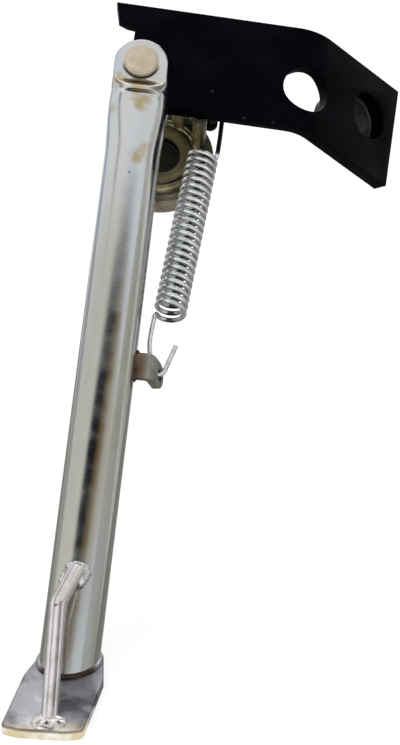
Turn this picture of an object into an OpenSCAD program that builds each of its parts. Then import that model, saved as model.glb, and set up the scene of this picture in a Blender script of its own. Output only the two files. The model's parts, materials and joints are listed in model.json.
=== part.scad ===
/* [Stance] */
// Tilt of the plane that the leg swings in, measured from upright
swing_tilt = 47; // [42:0.5:52]
// Lean of the leg within its swing plane, with the sole flat on the ground
leg_rake = 6.8; // [4:0.1:9]
// Slope of the bracket plate's long edges within the swing plane
bracket_rake = 9.2; // [7:0.1:11]

/* [Leg tube] */
// Outside diameter of the leg tube
tube_d = 22.2; // [21:0.1:23]
// Wall of the leg tube
tube_wall = 2; // [1.6:0.1:2.4]
// Length from the pivot to the ground along the leg's centreline
leg_length = 255.6; // [240:1:270]
// Distance by which the tube's centreline passes beside the pivot
leg_offset = 0.85; // [0.4:0.05:1.2]

/* [Clevis] */
// Width of the two flat ears
ear_w = 21.6; // [20.6:0.1:22.6]
// Thickness of one ear
ear_t = 2.9; // [2.4:0.1:3.4]
// Distance from the pivot to the lower end of the flat ears
ear_drop = 12; // [11.5:0.1:12.5]
// Gap between an ear and the bracket plate
ear_gap = 0.1; // [0.05:0.01:0.2]
// Swelling of each side of the tube where it is pressed
press_swell = 0.8; // [0.4:0.1:1]
// Flattening of front and back where the tube is pressed
press_flat = 1.3; // [0.8:0.1:1.6]
// Distance from the pivot to the widest pressed section
press_mid = 18.5; // [18:0.1:20]
// Distance from the pivot to the lower end of the pressed stretch
press_end = 42; // [38:1:48]
// Gap between the slot's floor and the plate edge that stops the leg
stop_gap = 0.1; // [0.05:0.01:0.2]

/* [Bracket plate] */
// Thickness of the bracket plate
plate_t = 6; // [5.5:0.1:6.5]
// Height of the plate's upper edge above the pivot
plate_rise = 27.7; // [27:0.1:30]
// Depth of the plate's lower edge below the pivot
plate_drop = 16.9; // [16.5:0.1:17.3]
// Distance from the pivot to the corner that the bend rounds
bend_at = 68; // [66:0.5:72]
// Length of the flange from that corner to its end
flange_len = 53.4; // [51:0.2:56]
// Angle of the flange's bend
flange_angle = 47.4; // [44:0.2:50]
// Outer radius of the flange's bend
bend_r = 18; // [15:0.5:20]
// Radius of the plate's round lobe about the pivot
lobe_r = 10.2; // [9.6:0.1:10.4]
// Reach of the stop nose beyond the pivot at the upper edge
nose_reach = 14; // [13.5:0.1:14.5]
// Reach of the stop nose at its lower corner
nose_low_reach = 12; // [11.8:0.1:12.2]
// Height of the nose's lower outer corner above the pivot
nose_low = 20.4; // [20:0.1:20.8]
// Height of the nose's underside beside the lobe
nose_root = 18.5; // [18.2:0.1:18.8]
// Reach of the throat between lobe and nose
nose_throat = 4.8; // [4.5:0.1:5]
// Reach of the plate's heel to the left of the pivot
heel_reach = 1.2; // [0.8:0.1:1.4]

/* [Bracket holes] */
// Radius of the hole that straddles the bend
bend_hole_r = 9.8; // [9:0.1:10.2]
// Height of that hole above the pivot
bend_hole_up = 1.4; // [0.5:0.1:2.5]
// Radius of the hole in the flange
flange_hole_r = 9.8; // [9.2:0.1:10]
// Distance of the flange's hole from the bend corner
flange_hole_at = 37.1; // [36:0.1:38]
// Height of the flange's hole above the pivot
flange_hole_up = 7.6; // [6.5:0.1:8.5]
// Bore radius of the sleeve behind the flange
sleeve_bore_r = 8.5; // [8:0.1:8.8]
// Wall of the sleeve
sleeve_wall = 3.5; // [3:0.1:4]
// Length of the sleeve
sleeve_len = 14; // [12:0.5:18]
// Leg length of the weld round the sleeve
sleeve_weld_leg = 2.2; // [1.5:0.1:2.6]

/* [Pivot bolt] */
// Radius of the bolt's shank
bolt_r = 5; // [4.6:0.1:5.2]
// Radial running gap of the shank in the plate
bolt_gap = 0.05; // [0.02:0.01:0.09]
// Radius of the round head
head_r = 6.8; // [6.4:0.1:7.2]
// Height of the round head
head_h = 3; // [2.6:0.1:3.4]
// Flat on top of the round head
head_flat_r = 4.6; // [4.2:0.1:5]
// Height of the head's domed shoulder
head_dome_h = 0.9; // [0.5:0.1:1.2]
// Radius of the washer under the nut
washer_r = 9; // [8.6:0.1:9.4]
// Thickness of the washer
washer_t = 1.6; // [1.2:0.1:2]
// Width across the flats of the pivot nut
nut_flats = 17; // [15:0.5:17]
// Height of the pivot nut
nut_h = 8; // [7:0.5:9]
// Length of bolt that shows behind the nut
bolt_tail = 2; // [1:0.5:3]

/* [Foot plate] */
// Thickness of the foot plate
foot_t = 3.5; // [3:0.1:4]
// Width of the foot plate
foot_w = 29.4; // [28.6:0.2:31]
// Reach of the foot plate in front of the leg's ground point
foot_front = 58; // [56:0.5:60]
// Reach of the foot plate behind the leg's ground point
foot_back = 19.8; // [19.4:0.1:20.4]
// Radius of the foot plate's rear end, which hugs the tube
foot_back_r = 11.8; // [11.6:0.1:12.2]
// Distance in front of the leg's ground point at which the plate starts to narrow to the rear
foot_waist = 11; // [8:0.5:14]
// Sideways shift of the plate's wide part from the leg's centreline
foot_shift = 0.3; // [0.1:0.1:0.6]
// Radius of the front corners
foot_corner_r = 6.5; // [5:0.5:8]
// Radius of the gently rounded front edge
foot_bow_r = 32; // [28:1:40]
// Leg length of the weld round the tube's lower end
foot_weld_leg = 1.7; // [1.4:0.1:1.9]

/* [Kick rod] */
// Diameter of the kick rod
rod_d = 6; // [5.6:0.1:6.4]
// Distance along the leg from its ground point up to the rod's upper end
rod_top_up = 37.6; // [36:0.1:42]
// Distance along the leg from its ground point up to the rod's bend
rod_bend_up = 19.3; // [18:0.1:21]
// Sideways place of the rod's bend
rod_bend_side = -6; // [-7:0.1:-5]
// Distance of the rod's bend in front of the tube's centreline
rod_bend_out = 19; // [18:0.5:20]
// Distance along the leg from its ground point on to the level of the rod's foot
rod_foot_past = 31.8; // [31:0.1:32.5]
// Sideways place of the rod's foot
rod_foot_side = -2.8; // [-4:0.1:-2]
// Distance of the rod's foot in front of the tube's centreline
rod_foot_out = 38.4; // [37.5:0.1:39]
// Radius of the weld at the rod's foot
rod_foot_weld_r = 6.4; // [6:0.1:7]
// Height of the weld at the rod's foot
rod_foot_weld_h = 2.2; // [1.6:0.1:2.6]

/* [Spring hook plate] */
// Thickness of the hook plate
hook_t = 2.5; // [2:0.1:2.8]
// Height of the hook plate along the leg
hook_h = 10.5; // [10:0.1:11.5]
// Distance from the pivot to the middle of the hook plate
hook_down = 129.8; // [128:0.1:132]
// Reach of the hook plate to its bend, from the tube's centreline
hook_reach = 17.6; // [17.2:0.1:18]
// Angle of the hook plate's bend
hook_bend = 70; // [66:1:74]
// Outer radius of the hook plate's bend
hook_bend_r = 4; // [3.5:0.1:4.5]
// Length of the hook plate from its bend to its end
hook_len = 13; // [12.5:0.1:13.5]
// Distance of the wire hole from the end of the hook plate
hook_hole_in = 4.2; // [4:0.1:4.6]
// Radius of the wire hole
hook_hole_r = 2.2; // [2.1:0.1:2.4]
// Depth of the hook plate's front face in front of the centreline
hook_front = 1.2; // [0.8:0.1:1.6]

/* [Spring] */
// Diameter of the spring wire
wire_d = 1.9; // [1.7:0.1:2]
// Mean radius of the coil
coil_r = 5.6; // [5.4:0.1:5.8]
// Number of turns in the coil
coil_turns = 23.5; // [21.5:1:24.5]
// Distance from the wire hole to the coil's first turn
coil_start = 28; // [26:0.5:30]
// Distance from the peg to the coil's last turn
coil_stop = 18; // [17:0.5:20]
// Radius of the lower hook's round bottom
hook_loop_r = 2.6; // [2.4:0.1:3]
// Height of the lower hook's open end above the wire hole
hook_tail_up = 14; // [12:0.5:16]
// Sideways reach of that open end
hook_tail_side = 4.9; // [4:0.1:5.5]

/* [Spring peg] */
// Radius of the spring peg
peg_r = 3.1; // [2.9:0.1:3.3]
// Distance of the peg from the pivot along the plate
peg_at = 29.8; // [28.5:0.1:31]
// Distance of the peg below the pivot
peg_down = 7.1; // [6.5:0.1:8]
// Length of the peg behind the plate
peg_len = 21.5; // [20:0.5:23]
// Radius of the neck that the wire sits in
peg_neck_r = 2.6; // [2.4:0.1:2.7]
// Width of that neck
peg_neck_w = 3.4; // [3:0.1:4]
// Length of the peg's head behind the neck
peg_head_w = 3; // [2.5:0.1:3.5]
// Radius of the peg's shoulder against the plate
peg_collar_r = 4; // [3.8:0.1:4.1]
// Length of that shoulder
peg_collar_w = 2; // [1.5:0.1:2.5]

/* [Backing disc] */
// Radius of the stepped disc behind the plate
disc_r = 21.6; // [21:0.1:22.2]
// Thickness of the disc
disc_t = 10; // [9:0.5:11]
// Distance of the disc's centre from the pivot along the plate
disc_at = 11.8; // [11:0.1:12.5]
// Distance of the disc's upper edge below the pivot
disc_top = 1.7; // [1:0.1:2.4]
// Space between the plate and the disc
disc_space = 22; // [21:0.5:24]
// Radius of the round well in the disc's middle
disc_well_r = 7.6; // [7:0.1:8]
// Depth of that well
disc_well_depth = 3.2; // [2.5:0.1:4]
// Radius of the two studs that carry the disc
stud_r = 2.9; // [2.6:0.1:3.1]
// Radius of the studs' threaded ends
stud_thread_r = 2.4; // [2.2:0.1:2.5]
// Distance of the studs' middles inside the disc's edge
stud_in = 4.6; // [4.4:0.1:5]
// Direction of the first stud from the disc's centre
stud_angle = 32; // [30:1:33]
// Angle between the two studs
stud_spread = 40; // [38:1:42]
// Width across the flats of the stud nuts
stud_nut_flats = 8; // [7.5:0.1:8.5]
// Height of the stud nuts
stud_nut_h = 4; // [3.5:0.1:4.5]
// Leg length of the welds round the studs
stud_weld_leg = 1; // [0.8:0.1:1.1]

/* [Hidden] */
$fn = 64;
hull_fn = 32;
hex_fn = 6;
thin = 0.02;
far = 400;

black_paint = [0.07, 0.07, 0.09];
dull_zinc = [0.72, 0.74, 0.74];
bright_zinc = [0.8, 0.82, 0.83];
yellow_zinc = [0.62, 0.56, 0.36];
tan_zinc = [0.68, 0.6, 0.5];
weld_grey = [0.5, 0.47, 0.42];

tube_r = tube_d / 2;
bore_r = tube_r - tube_wall;
rod_r = rod_d / 2;
wire_r = wire_d / 2;
half_t = plate_t / 2;
ear_in = half_t + ear_gap;
ear_out = ear_in + ear_t;
stow_angle = bracket_rake - leg_rake;
clearance_r = bolt_r + bolt_gap;
disc_down = disc_r + disc_top;
stud_circle_r = disc_r - stud_in;
stud_gap = 0.1;
// Small chamfer of turned edges
edge_cut = 0.5;

// The pivot seen from the point where the leg's centreline meets the ground
pivot_x = leg_length * sin(leg_rake) - leg_offset * cos(leg_rake);
pivot_up = leg_length * cos(leg_rake) + leg_offset * sin(leg_rake);
pivot_place = [pivot_x, pivot_up * cos(swing_tilt), pivot_up * sin(swing_tilt)];
// Compass turn of the foot plate, which points straight away from the leg's lean
lean_turn = atan2(sin(leg_rake), cos(leg_rake) * cos(swing_tilt));

module in_swing_plane() {
    translate(pivot_place) rotate([swing_tilt, 0, 0]) children();
}

module on_bracket() {
    in_swing_plane() rotate([0, 0, -bracket_rake]) children();
}

module on_leg() {
    in_swing_plane() rotate([0, 0, -leg_rake]) translate([leg_offset, 0, 0]) children();
}

module above(level) {
    intersection() {
        children();
        translate([-far, -far, level]) cube([2 * far, 2 * far, far]);
    }
}

// A sector of ring that joins two flats of a bent strip, front face outermost
module bend_profile(radius, thickness, angle) {
    wedge_r = radius * 1.5;
    intersection() {
        difference() {
            circle(radius);
            circle(radius - thickness);
        }
        polygon([
            [0, 0],
            [0, wedge_r],
            [wedge_r * sin(angle / 2), wedge_r * cos(angle / 2)],
            [wedge_r * sin(angle), wedge_r * cos(angle)]
        ]);
    }
}

// Moves a shape from the strip's first flat on to the flat behind its bend.
// There x runs along the flat from the bend, y up and z out of the front face.
module past_bend(corner, radius, angle) {
    setback = radius * tan(angle / 2);
    translate([corner - setback, 0, -radius]) rotate([0, angle, 0]) translate([0, 0, radius]) children();
}

module bend_solid(corner, radius, thickness, angle, low, high) {
    setback = radius * tan(angle / 2);
    translate([corner - setback, low, -radius])
        rotate([90, 0, 0])
        translate([0, 0, low - high])
        linear_extrude(high - low) bend_profile(radius, thickness, angle);
}

// The plate seen from above: a flat, the bend in short steps and the flange, front face outermost
module plate_section() {
    flat_end = bend_at - bend_r * tan(flange_angle / 2);
    flange_flat = flange_len - bend_r * tan(flange_angle / 2);
    steps = 24;
    function on_arc(radius, turn) = [flat_end + radius * sin(turn), radius * cos(turn) - bend_r];
    run_out = [flange_flat * cos(flange_angle), -flange_flat * sin(flange_angle)];
    polygon([
        [-heel_reach, 0],
        for (i = [0 : steps]) on_arc(bend_r, i * flange_angle / steps),
        on_arc(bend_r, flange_angle) + run_out,
        on_arc(bend_r - plate_t, flange_angle) + run_out,
        for (i = [steps : -1 : 0]) on_arc(bend_r - plate_t, i * flange_angle / steps),
        [-heel_reach, -plate_t]
    ]);
}

// The round lobe about the pivot and the stop nose beside it
module plate_end() {
    circle(lobe_r);
    polygon([
        [0, plate_rise],
        [-nose_reach, plate_rise],
        [-nose_low_reach, nose_low],
        [-(nose_throat + nose_low_reach) / 2, nose_root + (nose_low - nose_root) / 4],
        [-nose_throat, nose_root],
        [-nose_throat, 0],
        [0, 0]
    ]);
}

module bracket_plate() {
    color(black_paint) on_bracket() difference() {
        union() {
            translate([0, -plate_drop, half_t]) rotate([90, 0, 0]) translate([0, 0, -plate_rise - plate_drop])
                linear_extrude(plate_rise + plate_drop) plate_section();
            translate([0, 0, -half_t]) linear_extrude(plate_t) plate_end();
        }
        translate([0, 0, -plate_t]) cylinder(r = clearance_r, h = 2 * plate_t);
        translate([peg_at, -peg_down, -plate_t]) cylinder(r = peg_r, h = 2 * plate_t);
        in_bend_hole() cylinder(r = bend_hole_r, h = 4 * plate_t, center = true);
        in_flange_hole() cylinder(r = flange_hole_r, h = 4 * plate_t, center = true);
    }
}

// Axis of the hole through the bend: it halves the angle between plate and flange
module in_bend_hole() {
    translate([bend_at - bend_r * tan(flange_angle / 2), bend_hole_up, half_t - bend_r])
        rotate([0, flange_angle / 2, 0])
        translate([0, 0, bend_r - half_t]) children();
}

// Axis of the flange's hole, with its origin on the flange's front face
module in_flange_hole() {
    translate([0, 0, half_t]) past_bend(bend_at, bend_r, flange_angle)
        translate([flange_hole_at - bend_r * tan(flange_angle / 2), flange_hole_up, 0]) children();
}

module flange_sleeve() {
    color(black_paint) on_bracket() in_flange_hole() translate([0, 0, -plate_t - sleeve_len])
        difference() {
            cylinder(r = sleeve_bore_r + sleeve_wall, h = sleeve_len);
            translate([0, 0, -plate_t]) cylinder(r = sleeve_bore_r, h = sleeve_len + 2 * plate_t);
        }
}

// A fillet weld round a post: it stands on the face z = 0 and runs down it
module weld_ring(post_r, leg) {
    bulge = leg * 0.55;
    rotate_extrude() translate([post_r, 0]) polygon([[0, 0], [leg, 0], [bulge, -bulge], [0, -leg]]);
}

module sleeve_weld() {
    color(weld_grey) on_bracket() in_flange_hole() translate([0, 0, -plate_t])
        weld_ring(sleeve_bore_r + sleeve_wall, sleeve_weld_leg);
}

module spring_peg() {
    neck_end = -half_t - peg_len + peg_head_w;
    rivet_rise = 0.3;
    color(black_paint) on_bracket() translate([peg_at, -peg_down, 0]) rotate_extrude() polygon([
        [0, half_t + rivet_rise],
        [peg_r / 2, half_t + rivet_rise],
        [peg_r, half_t],
        [peg_r, -half_t],
        [peg_collar_r, -half_t],
        [peg_collar_r, -half_t - peg_collar_w],
        [peg_r, -half_t - peg_collar_w],
        [peg_r, neck_end + peg_neck_w],
        [peg_neck_r, neck_end + peg_neck_w - edge_cut],
        [peg_neck_r, neck_end + edge_cut],
        [peg_r, neck_end],
        [peg_r, -half_t - peg_len + edge_cut],
        [peg_r - edge_cut, -half_t - peg_len],
        [0, -half_t - peg_len]
    ]);
}

module at_disc() {
    translate([disc_at, -disc_down, -half_t - disc_space]) children();
}

module at_studs() {
    for (turn = [stud_angle, stud_angle + stud_spread])
        translate([stud_circle_r * cos(turn), stud_circle_r * sin(turn), 0]) children();
}

// The pressed rings of the face: a well, a flat, a groove, a raised band and a lower rim
disc_groove_r = disc_r * 0.635;
disc_band_r = disc_r * 0.74;
disc_groove_depth = 0.7;
disc_rim_depth = 1.2;

module disc_profile() {
    waist = disc_t / 2;
    slope = 2 * edge_cut;
    polygon([
        [0, -disc_well_depth],
        [disc_well_r - edge_cut, -disc_well_depth],
        [disc_well_r, -disc_well_depth + edge_cut],
        [disc_well_r + slope, 0],
        [disc_groove_r - slope, 0],
        [disc_groove_r - edge_cut, -disc_groove_depth],
        [disc_groove_r + edge_cut, -disc_groove_depth],
        [disc_groove_r + slope, 0],
        [disc_band_r, 0],
        [disc_band_r + slope, -disc_rim_depth],
        [disc_r - slope, -disc_rim_depth],
        [disc_r - edge_cut, -disc_groove_depth],
        [disc_r, -disc_groove_depth - edge_cut],
        [disc_r, -waist + edge_cut],
        [disc_r - edge_cut, -waist],
        [disc_r - edge_cut, -waist - slope],
        [disc_r, -waist - slope - edge_cut],
        [disc_r, -disc_t + edge_cut],
        [disc_r - edge_cut, -disc_t],
        [0, -disc_t]
    ]);
}

// Each stud's shoulder stands in a flat seat and its thread goes through
module backing_disc() {
    color(yellow_zinc) on_bracket() at_disc() difference() {
        rotate_extrude() disc_profile();
        at_studs() translate([0, 0, -2 * disc_t]) cylinder(r = stud_thread_r + stud_gap, h = 3 * disc_t);
        at_studs() translate([0, 0, -disc_rim_depth]) cylinder(r = stud_r + stud_gap, h = disc_t);
    }
}

module disc_studs() {
    tail = disc_t + stud_nut_h + 2 * edge_cut;
    color(dull_zinc) on_bracket() at_disc() at_studs() union() {
        translate([0, 0, -disc_rim_depth]) cylinder(r = stud_r, h = disc_space + disc_rim_depth);
        translate([0, 0, -tail]) cylinder(r = stud_thread_r, h = tail);
    }
}

module stud_welds() {
    color(weld_grey) on_bracket() at_disc() at_studs() translate([0, 0, disc_space])
        weld_ring(stud_r, stud_weld_leg);
}

module hex_nut(flats, height, hole_r) {
    difference() {
        cylinder(d = flats / cos(30), h = height, $fn = hex_fn);
        translate([0, 0, -height]) cylinder(r = hole_r, h = 3 * height);
    }
}

module disc_nuts() {
    color(dull_zinc) on_bracket() at_disc() at_studs() translate([0, 0, -disc_t - stud_nut_h])
        hex_nut(stud_nut_flats, stud_nut_h, stud_thread_r);
}

module pivot_bolt() {
    tail = washer_t + nut_h + bolt_tail;
    color(tan_zinc) in_swing_plane() rotate_extrude() polygon([
        [0, ear_out + head_h],
        [head_flat_r, ear_out + head_h],
        [head_r - edge_cut, ear_out + head_h - head_dome_h],
        [head_r, ear_out + head_h - head_dome_h - edge_cut],
        [head_r, ear_out],
        [bolt_r, ear_out],
        [bolt_r, -ear_out - tail + edge_cut],
        [bolt_r - edge_cut, -ear_out - tail],
        [0, -ear_out - tail]
    ]);
}

module pivot_washer() {
    color(bright_zinc) in_swing_plane() translate([0, 0, -ear_out - washer_t]) difference() {
        cylinder(r = washer_r, h = washer_t);
        translate([0, 0, -washer_t]) cylinder(r = clearance_r, h = 3 * washer_t);
    }
}

module pivot_nut() {
    color(bright_zinc) in_swing_plane() translate([0, 0, -ear_out - washer_t - nut_h])
        hex_nut(nut_flats, nut_h, bolt_r);
}

// A thin slice across the leg: an ellipse, or a circle where both radii agree
module leg_slice(down, side_r, depth_r) {
    translate([0, -down, 0]) rotate([90, 0, 0]) linear_extrude(thin)
        scale([1, depth_r / side_r]) circle(side_r, $fn = hull_fn);
}

module ear_slice(half_w, half_d) {
    translate([-leg_offset - half_w, -ear_drop - thin, -half_d]) cube([2 * half_w, thin, 2 * half_d]);
}

// The pressed stretch between the round tube and the ears, grown or shrunk by a wall
module pressed_stretch(wall, ear_half_w, ear_half_d) {
    hull() {
        leg_slice(press_end, tube_r - wall, tube_r - wall);
        leg_slice(press_mid, tube_r + press_swell - wall, tube_r - press_flat - wall);
    }
    hull() {
        leg_slice(press_mid, tube_r + press_swell - wall, tube_r - press_flat - wall);
        ear_slice(ear_half_w, ear_half_d);
    }
}

module leg_blank() {
    translate([-leg_offset, 0, -ear_out]) cylinder(r = ear_w / 2, h = 2 * ear_out);
    translate([-leg_offset - ear_w / 2, -ear_drop, -ear_out]) cube([ear_w, ear_drop, 2 * ear_out]);
    pressed_stretch(0, ear_w / 2, ear_out);
    translate([0, -press_end, 0]) rotate([90, 0, 0]) cylinder(r = tube_r, h = far);
}

module leg_tube() {
    color(dull_zinc) above(foot_t) on_leg() difference() {
        leg_blank();
        pressed_stretch(tube_wall, ear_w / 2 - tube_wall, ear_in);
        translate([0, -press_end, 0]) rotate([90, 0, 0]) cylinder(r = bore_r, h = 2 * far);
        // The slot's floor lies flat against the plate's lower edge when the leg is folded up
        translate([-leg_offset, 0, 0]) rotate([0, 0, -stow_angle])
            translate([-far / 2, -plate_drop - stop_gap, -ear_in]) cube([far, far, 2 * ear_in]);
        translate([-leg_offset, 0, -2 * ear_out]) cylinder(r = clearance_r, h = 4 * ear_out);
    }
}

module foot_outline() {
    intersection() {
        hull() {
            translate([-foot_shift, foot_back - foot_back_r]) circle(foot_back_r);
            for (side = [-1, 1]) {
                translate([side * (foot_w / 2 - foot_corner_r), -foot_waist]) circle(foot_corner_r);
                translate([side * (foot_w / 2 - foot_corner_r), foot_corner_r - foot_front]) circle(foot_corner_r);
            }
        }
        // The bow trims the front only
        union() {
            translate([0, foot_bow_r - foot_front]) circle(foot_bow_r);
            translate([-foot_w, -foot_waist]) square(2 * foot_w);
        }
    }
}

module foot_plate() {
    color(dull_zinc) rotate([0, 0, -lean_turn]) translate([foot_shift, 0, 0])
        linear_extrude(foot_t) foot_outline();
}

// The tube's footprint at a height above the ground, grown by a margin
module footprint(level, grown) {
    intersection() {
        on_leg() rotate([90, 0, 0]) cylinder(r = tube_r + grown, h = far, $fn = hull_fn);
        translate([-far / 2, -far / 2, level]) cube([far, far, thin]);
    }
}

module foot_weld() {
    toe = 0.3;
    color(weld_grey) difference() {
        hull() {
            footprint(foot_t, foot_weld_leg);
            footprint(foot_t + foot_weld_leg / 2, foot_weld_leg * 0.65);
            footprint(foot_t + foot_weld_leg, toe);
        }
        on_leg() rotate([90, 0, 0]) cylinder(r = tube_r, h = far);
    }
}

rod_top_point = [0, rod_top_up - leg_length, tube_r + rod_r];
rod_bend_point = [rod_bend_side, rod_bend_up - leg_length, rod_bend_out];
rod_foot_point = [rod_foot_side, -rod_foot_past - leg_length, rod_foot_out];

function unit(v) = v / norm(v);
rod_lower = unit(rod_foot_point - rod_bend_point);
rod_upper = unit(rod_bend_point - rod_top_point);

// Places of the rod's line in the ground's own directions
function turned(p, angle) = [
    p.x * cos(angle) - p.y * sin(angle),
    p.x * sin(angle) + p.y * cos(angle),
    p.z
];
function from_leg(p) = turned(p + [leg_offset, 0, 0], -leg_rake);
function from_bracket(p) = turned(p, -bracket_rake);
function from_swing(p) = pivot_place + [
    p.x,
    p.y * cos(swing_tilt) - p.z * sin(swing_tilt),
    p.y * sin(swing_tilt) + p.z * cos(swing_tilt)
];
rod_foot_place = from_swing(from_leg(rod_foot_point));
rod_bend_place = from_swing(from_leg(rod_bend_point));
rod_foot_share = (rod_bend_place.z - foot_t) / (rod_bend_place.z - rod_foot_place.z);
rod_landing = rod_bend_place + (rod_foot_place - rod_bend_place) * rod_foot_share;

// A round bar between two points
module bar(from, to, radius) {
    run = to - from;
    reach = norm(run);
    translate(from)
        rotate(a = acos(run.z / reach), v = [-run.y, run.x, 0])
        cylinder(r = radius, h = reach);
}

// The bend is a ball, a hair fuller than the rod, where the two straights meet
module kick_rod() {
    run_out = 10;
    bend_swell = 0.05;
    color(bright_zinc) above(foot_t) on_leg() {
        bar(rod_top_point, rod_bend_point, rod_r);
        translate(rod_bend_point) sphere(r = rod_r + bend_swell);
        bar(rod_bend_point, rod_foot_point + run_out * rod_lower, rod_r);
    }
}

// Two beads fill the valleys between the rod's upper end and the tube
module rod_top_weld() {
    bead_r = 2.2;
    bead_len = 7;
    bead_rise = 0.4;
    valley = rod_r + 2 * bead_rise;
    color(weld_grey) on_leg() difference() {
        for (side = [-1, 1])
            translate(rod_top_point + [side * valley, rod_r / 2, bead_rise - rod_r])
                bar([0, 0, 0], bead_len * rod_upper, bead_r);
        bar(rod_top_point - rod_d * rod_upper, rod_top_point + 3 * bead_len * rod_upper, rod_r);
        translate([0, rod_top_point.y + bead_len, 0]) rotate([90, 0, 0]) cylinder(r = tube_r, h = 4 * bead_len);
    }
}

// A low cone of weld round the rod's foot
module rod_foot_weld() {
    color(weld_grey) difference() {
        translate([rod_landing.x, rod_landing.y, foot_t])
            cylinder(r1 = rod_foot_weld_r, r2 = rod_foot_weld_r * 0.6, h = rod_foot_weld_h);
        on_leg() bar(rod_foot_point - 2 * rod_d * rod_lower, rod_foot_point + 2 * rod_d * rod_lower, rod_r);
    }
}

module hook_end() {
    setback = hook_bend_r * tan(hook_bend / 2);
    flat = hook_len - setback;
    round_r = hook_h / 2;
    difference() {
        union() {
            translate([0, -round_r]) square([flat - round_r, hook_h]);
            translate([flat - round_r, 0]) circle(round_r);
        }
        translate([flat - hook_hole_in, 0]) circle(hook_hole_r);
    }
}

module hook_plate() {
    half_h = hook_h / 2;
    flat_end = hook_reach - hook_bend_r * tan(hook_bend / 2);
    color(dull_zinc) on_leg() difference() {
        translate([0, -hook_down, hook_front]) union() {
            translate([0, -half_h, -hook_t]) cube([flat_end, hook_h, hook_t]);
            bend_solid(hook_reach, hook_bend_r, hook_t, hook_bend, -half_h, half_h);
            past_bend(hook_reach, hook_bend_r, hook_bend) translate([0, 0, -hook_t])
                linear_extrude(hook_t) hook_end();
        }
        translate([0, -hook_down + hook_h, 0]) rotate([90, 0, 0]) cylinder(r = tube_r, h = 2 * hook_h);
    }
}

// Beads above and below the hook plate's root, in the corner that it makes with the tube
module hook_weld() {
    bead_r = 1.7;
    bead_half_len = 1.5;
    bead_out = 0.2;
    color(weld_grey) on_leg() difference() {
        for (side = [-1, 1]) {
            middle = [tube_r + bead_out, -hook_down + side * (hook_h / 2 + bead_out), hook_front - hook_t / 2];
            translate(middle) sphere(r = bead_r);
            bar(middle - [bead_out, 0, bead_half_len], middle + [-bead_out, 0, bead_half_len], bead_r * 0.9);
        }
        translate([0, -hook_down - hook_h / 2, hook_front - hook_t]) cube([far, hook_h, hook_t]);
        translate([0, -hook_down + hook_h, 0]) rotate([90, 0, 0]) cylinder(r = tube_r, h = 2 * hook_h);
    }
}

hook_setback = hook_bend_r * tan(hook_bend / 2);
hole_run = hook_len - hook_setback - hook_hole_in;
hole_side = hook_reach - hook_setback + hook_bend_r * sin(hook_bend) + hole_run * cos(hook_bend)
    - hook_t / 2 * sin(hook_bend);
hole_out = hook_front - hook_bend_r + hook_bend_r * cos(hook_bend) - hole_run * sin(hook_bend)
    - hook_t / 2 * cos(hook_bend);
hook_seat_gap = 0.6;
peg_seat_gap = 0.3;
wire_at_hole = from_leg([hole_side, -hook_down + hook_hole_r - wire_r - hook_seat_gap, hole_out]);
neck_middle = -half_t - peg_len + peg_head_w + peg_neck_w / 2;
wire_at_peg = from_bracket([peg_at, -peg_down, neck_middle]);

// The spring's own frame: up its axis, to the right, and towards the bolt's head
spring_run = wire_at_peg - wire_at_hole;
spring_len = norm(spring_run);
spring_up = unit(spring_run);
spring_out = unit([0, 0, 1] - spring_up * spring_up.z);
spring_right = cross(spring_up, spring_out);
function spring_point(p) = wire_at_hole + p.x * spring_right + p.y * spring_out + p.z * spring_up;

function bezier(a, b, c, t) = (1 - t) * (1 - t) * a + 2 * t * (1 - t) * b + t * t * c;

coil_low = coil_start;
coil_high = spring_len - coil_stop;
rings_per_turn = 12;
lead_angle = 40;
coil_sweep = 360 * coil_turns - 2 * lead_angle;
coil_rings = ceil(coil_turns * rings_per_turn);
loop_slack = 1.3;
loop_r = peg_neck_r + wire_r + loop_slack;
loop_middle = spring_len + peg_neck_r + wire_r + peg_seat_gap - loop_r;
function coil_point(i) = let (
    share = i / coil_rings,
    angle = 180 + lead_angle + share * coil_sweep
) [
    coil_r * cos(angle),
    coil_r * sin(angle),
    coil_low + share * (coil_high - coil_low)
];

// Direction from the middle of the lower hook's round bottom to where a straight from p meets it
function meets_hook(p, side) = let (
    away = p - [0, 0, hook_loop_r]
) atan2(away.z, away.x) + side * acos(hook_loop_r / norm(away));
function hook_point(turn) = [hook_loop_r * cos(turn), 0, hook_loop_r + hook_loop_r * sin(turn)];

lead_len = 2.5;
hook_tail = [hook_tail_side, 0, hook_tail_up];
hook_rise = [-coil_r, 0, coil_low / 2];
tail_turn = meets_hook(hook_tail, -1);
rise_turn = meets_hook(hook_rise, 1) - 360;
hook_steps = 10;

spring_path = [
    // The open end of the lower hook, its round bottom and its rise to the coil
    hook_tail,
    for (i = [0 : hook_steps]) hook_point(tail_turn + (rise_turn - tail_turn) * i / hook_steps),
    hook_rise,
    [-coil_r, 0, coil_low - lead_len],
    for (i = [1 : 3]) bezier([-coil_r, 0, coil_low - lead_len], [-coil_r, 0, coil_low], coil_point(0), i / 4),
    for (i = [0 : coil_rings]) coil_point(i),
    for (i = [1 : 3]) bezier(coil_point(coil_rings), [coil_r, 0, coil_high], [coil_r, 0, coil_high + lead_len], i / 4),
    for (i = [0 : 2]) let (share = i / 3) [
        coil_r + (loop_r - coil_r) * share,
        0,
        coil_high + lead_len + (loop_middle - coil_high - lead_len) * share
    ],
    // The upper hook goes over the peg
    for (turn = [0 : 22.5 : 180]) [loop_r * cos(turn), 0, loop_middle + loop_r * sin(turn)]
];

spring_last = len(spring_path) - 1;
function tangent(i) = unit(spring_path[min(i + 1, spring_last)] - spring_path[max(i - 1, 0)]);
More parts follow.
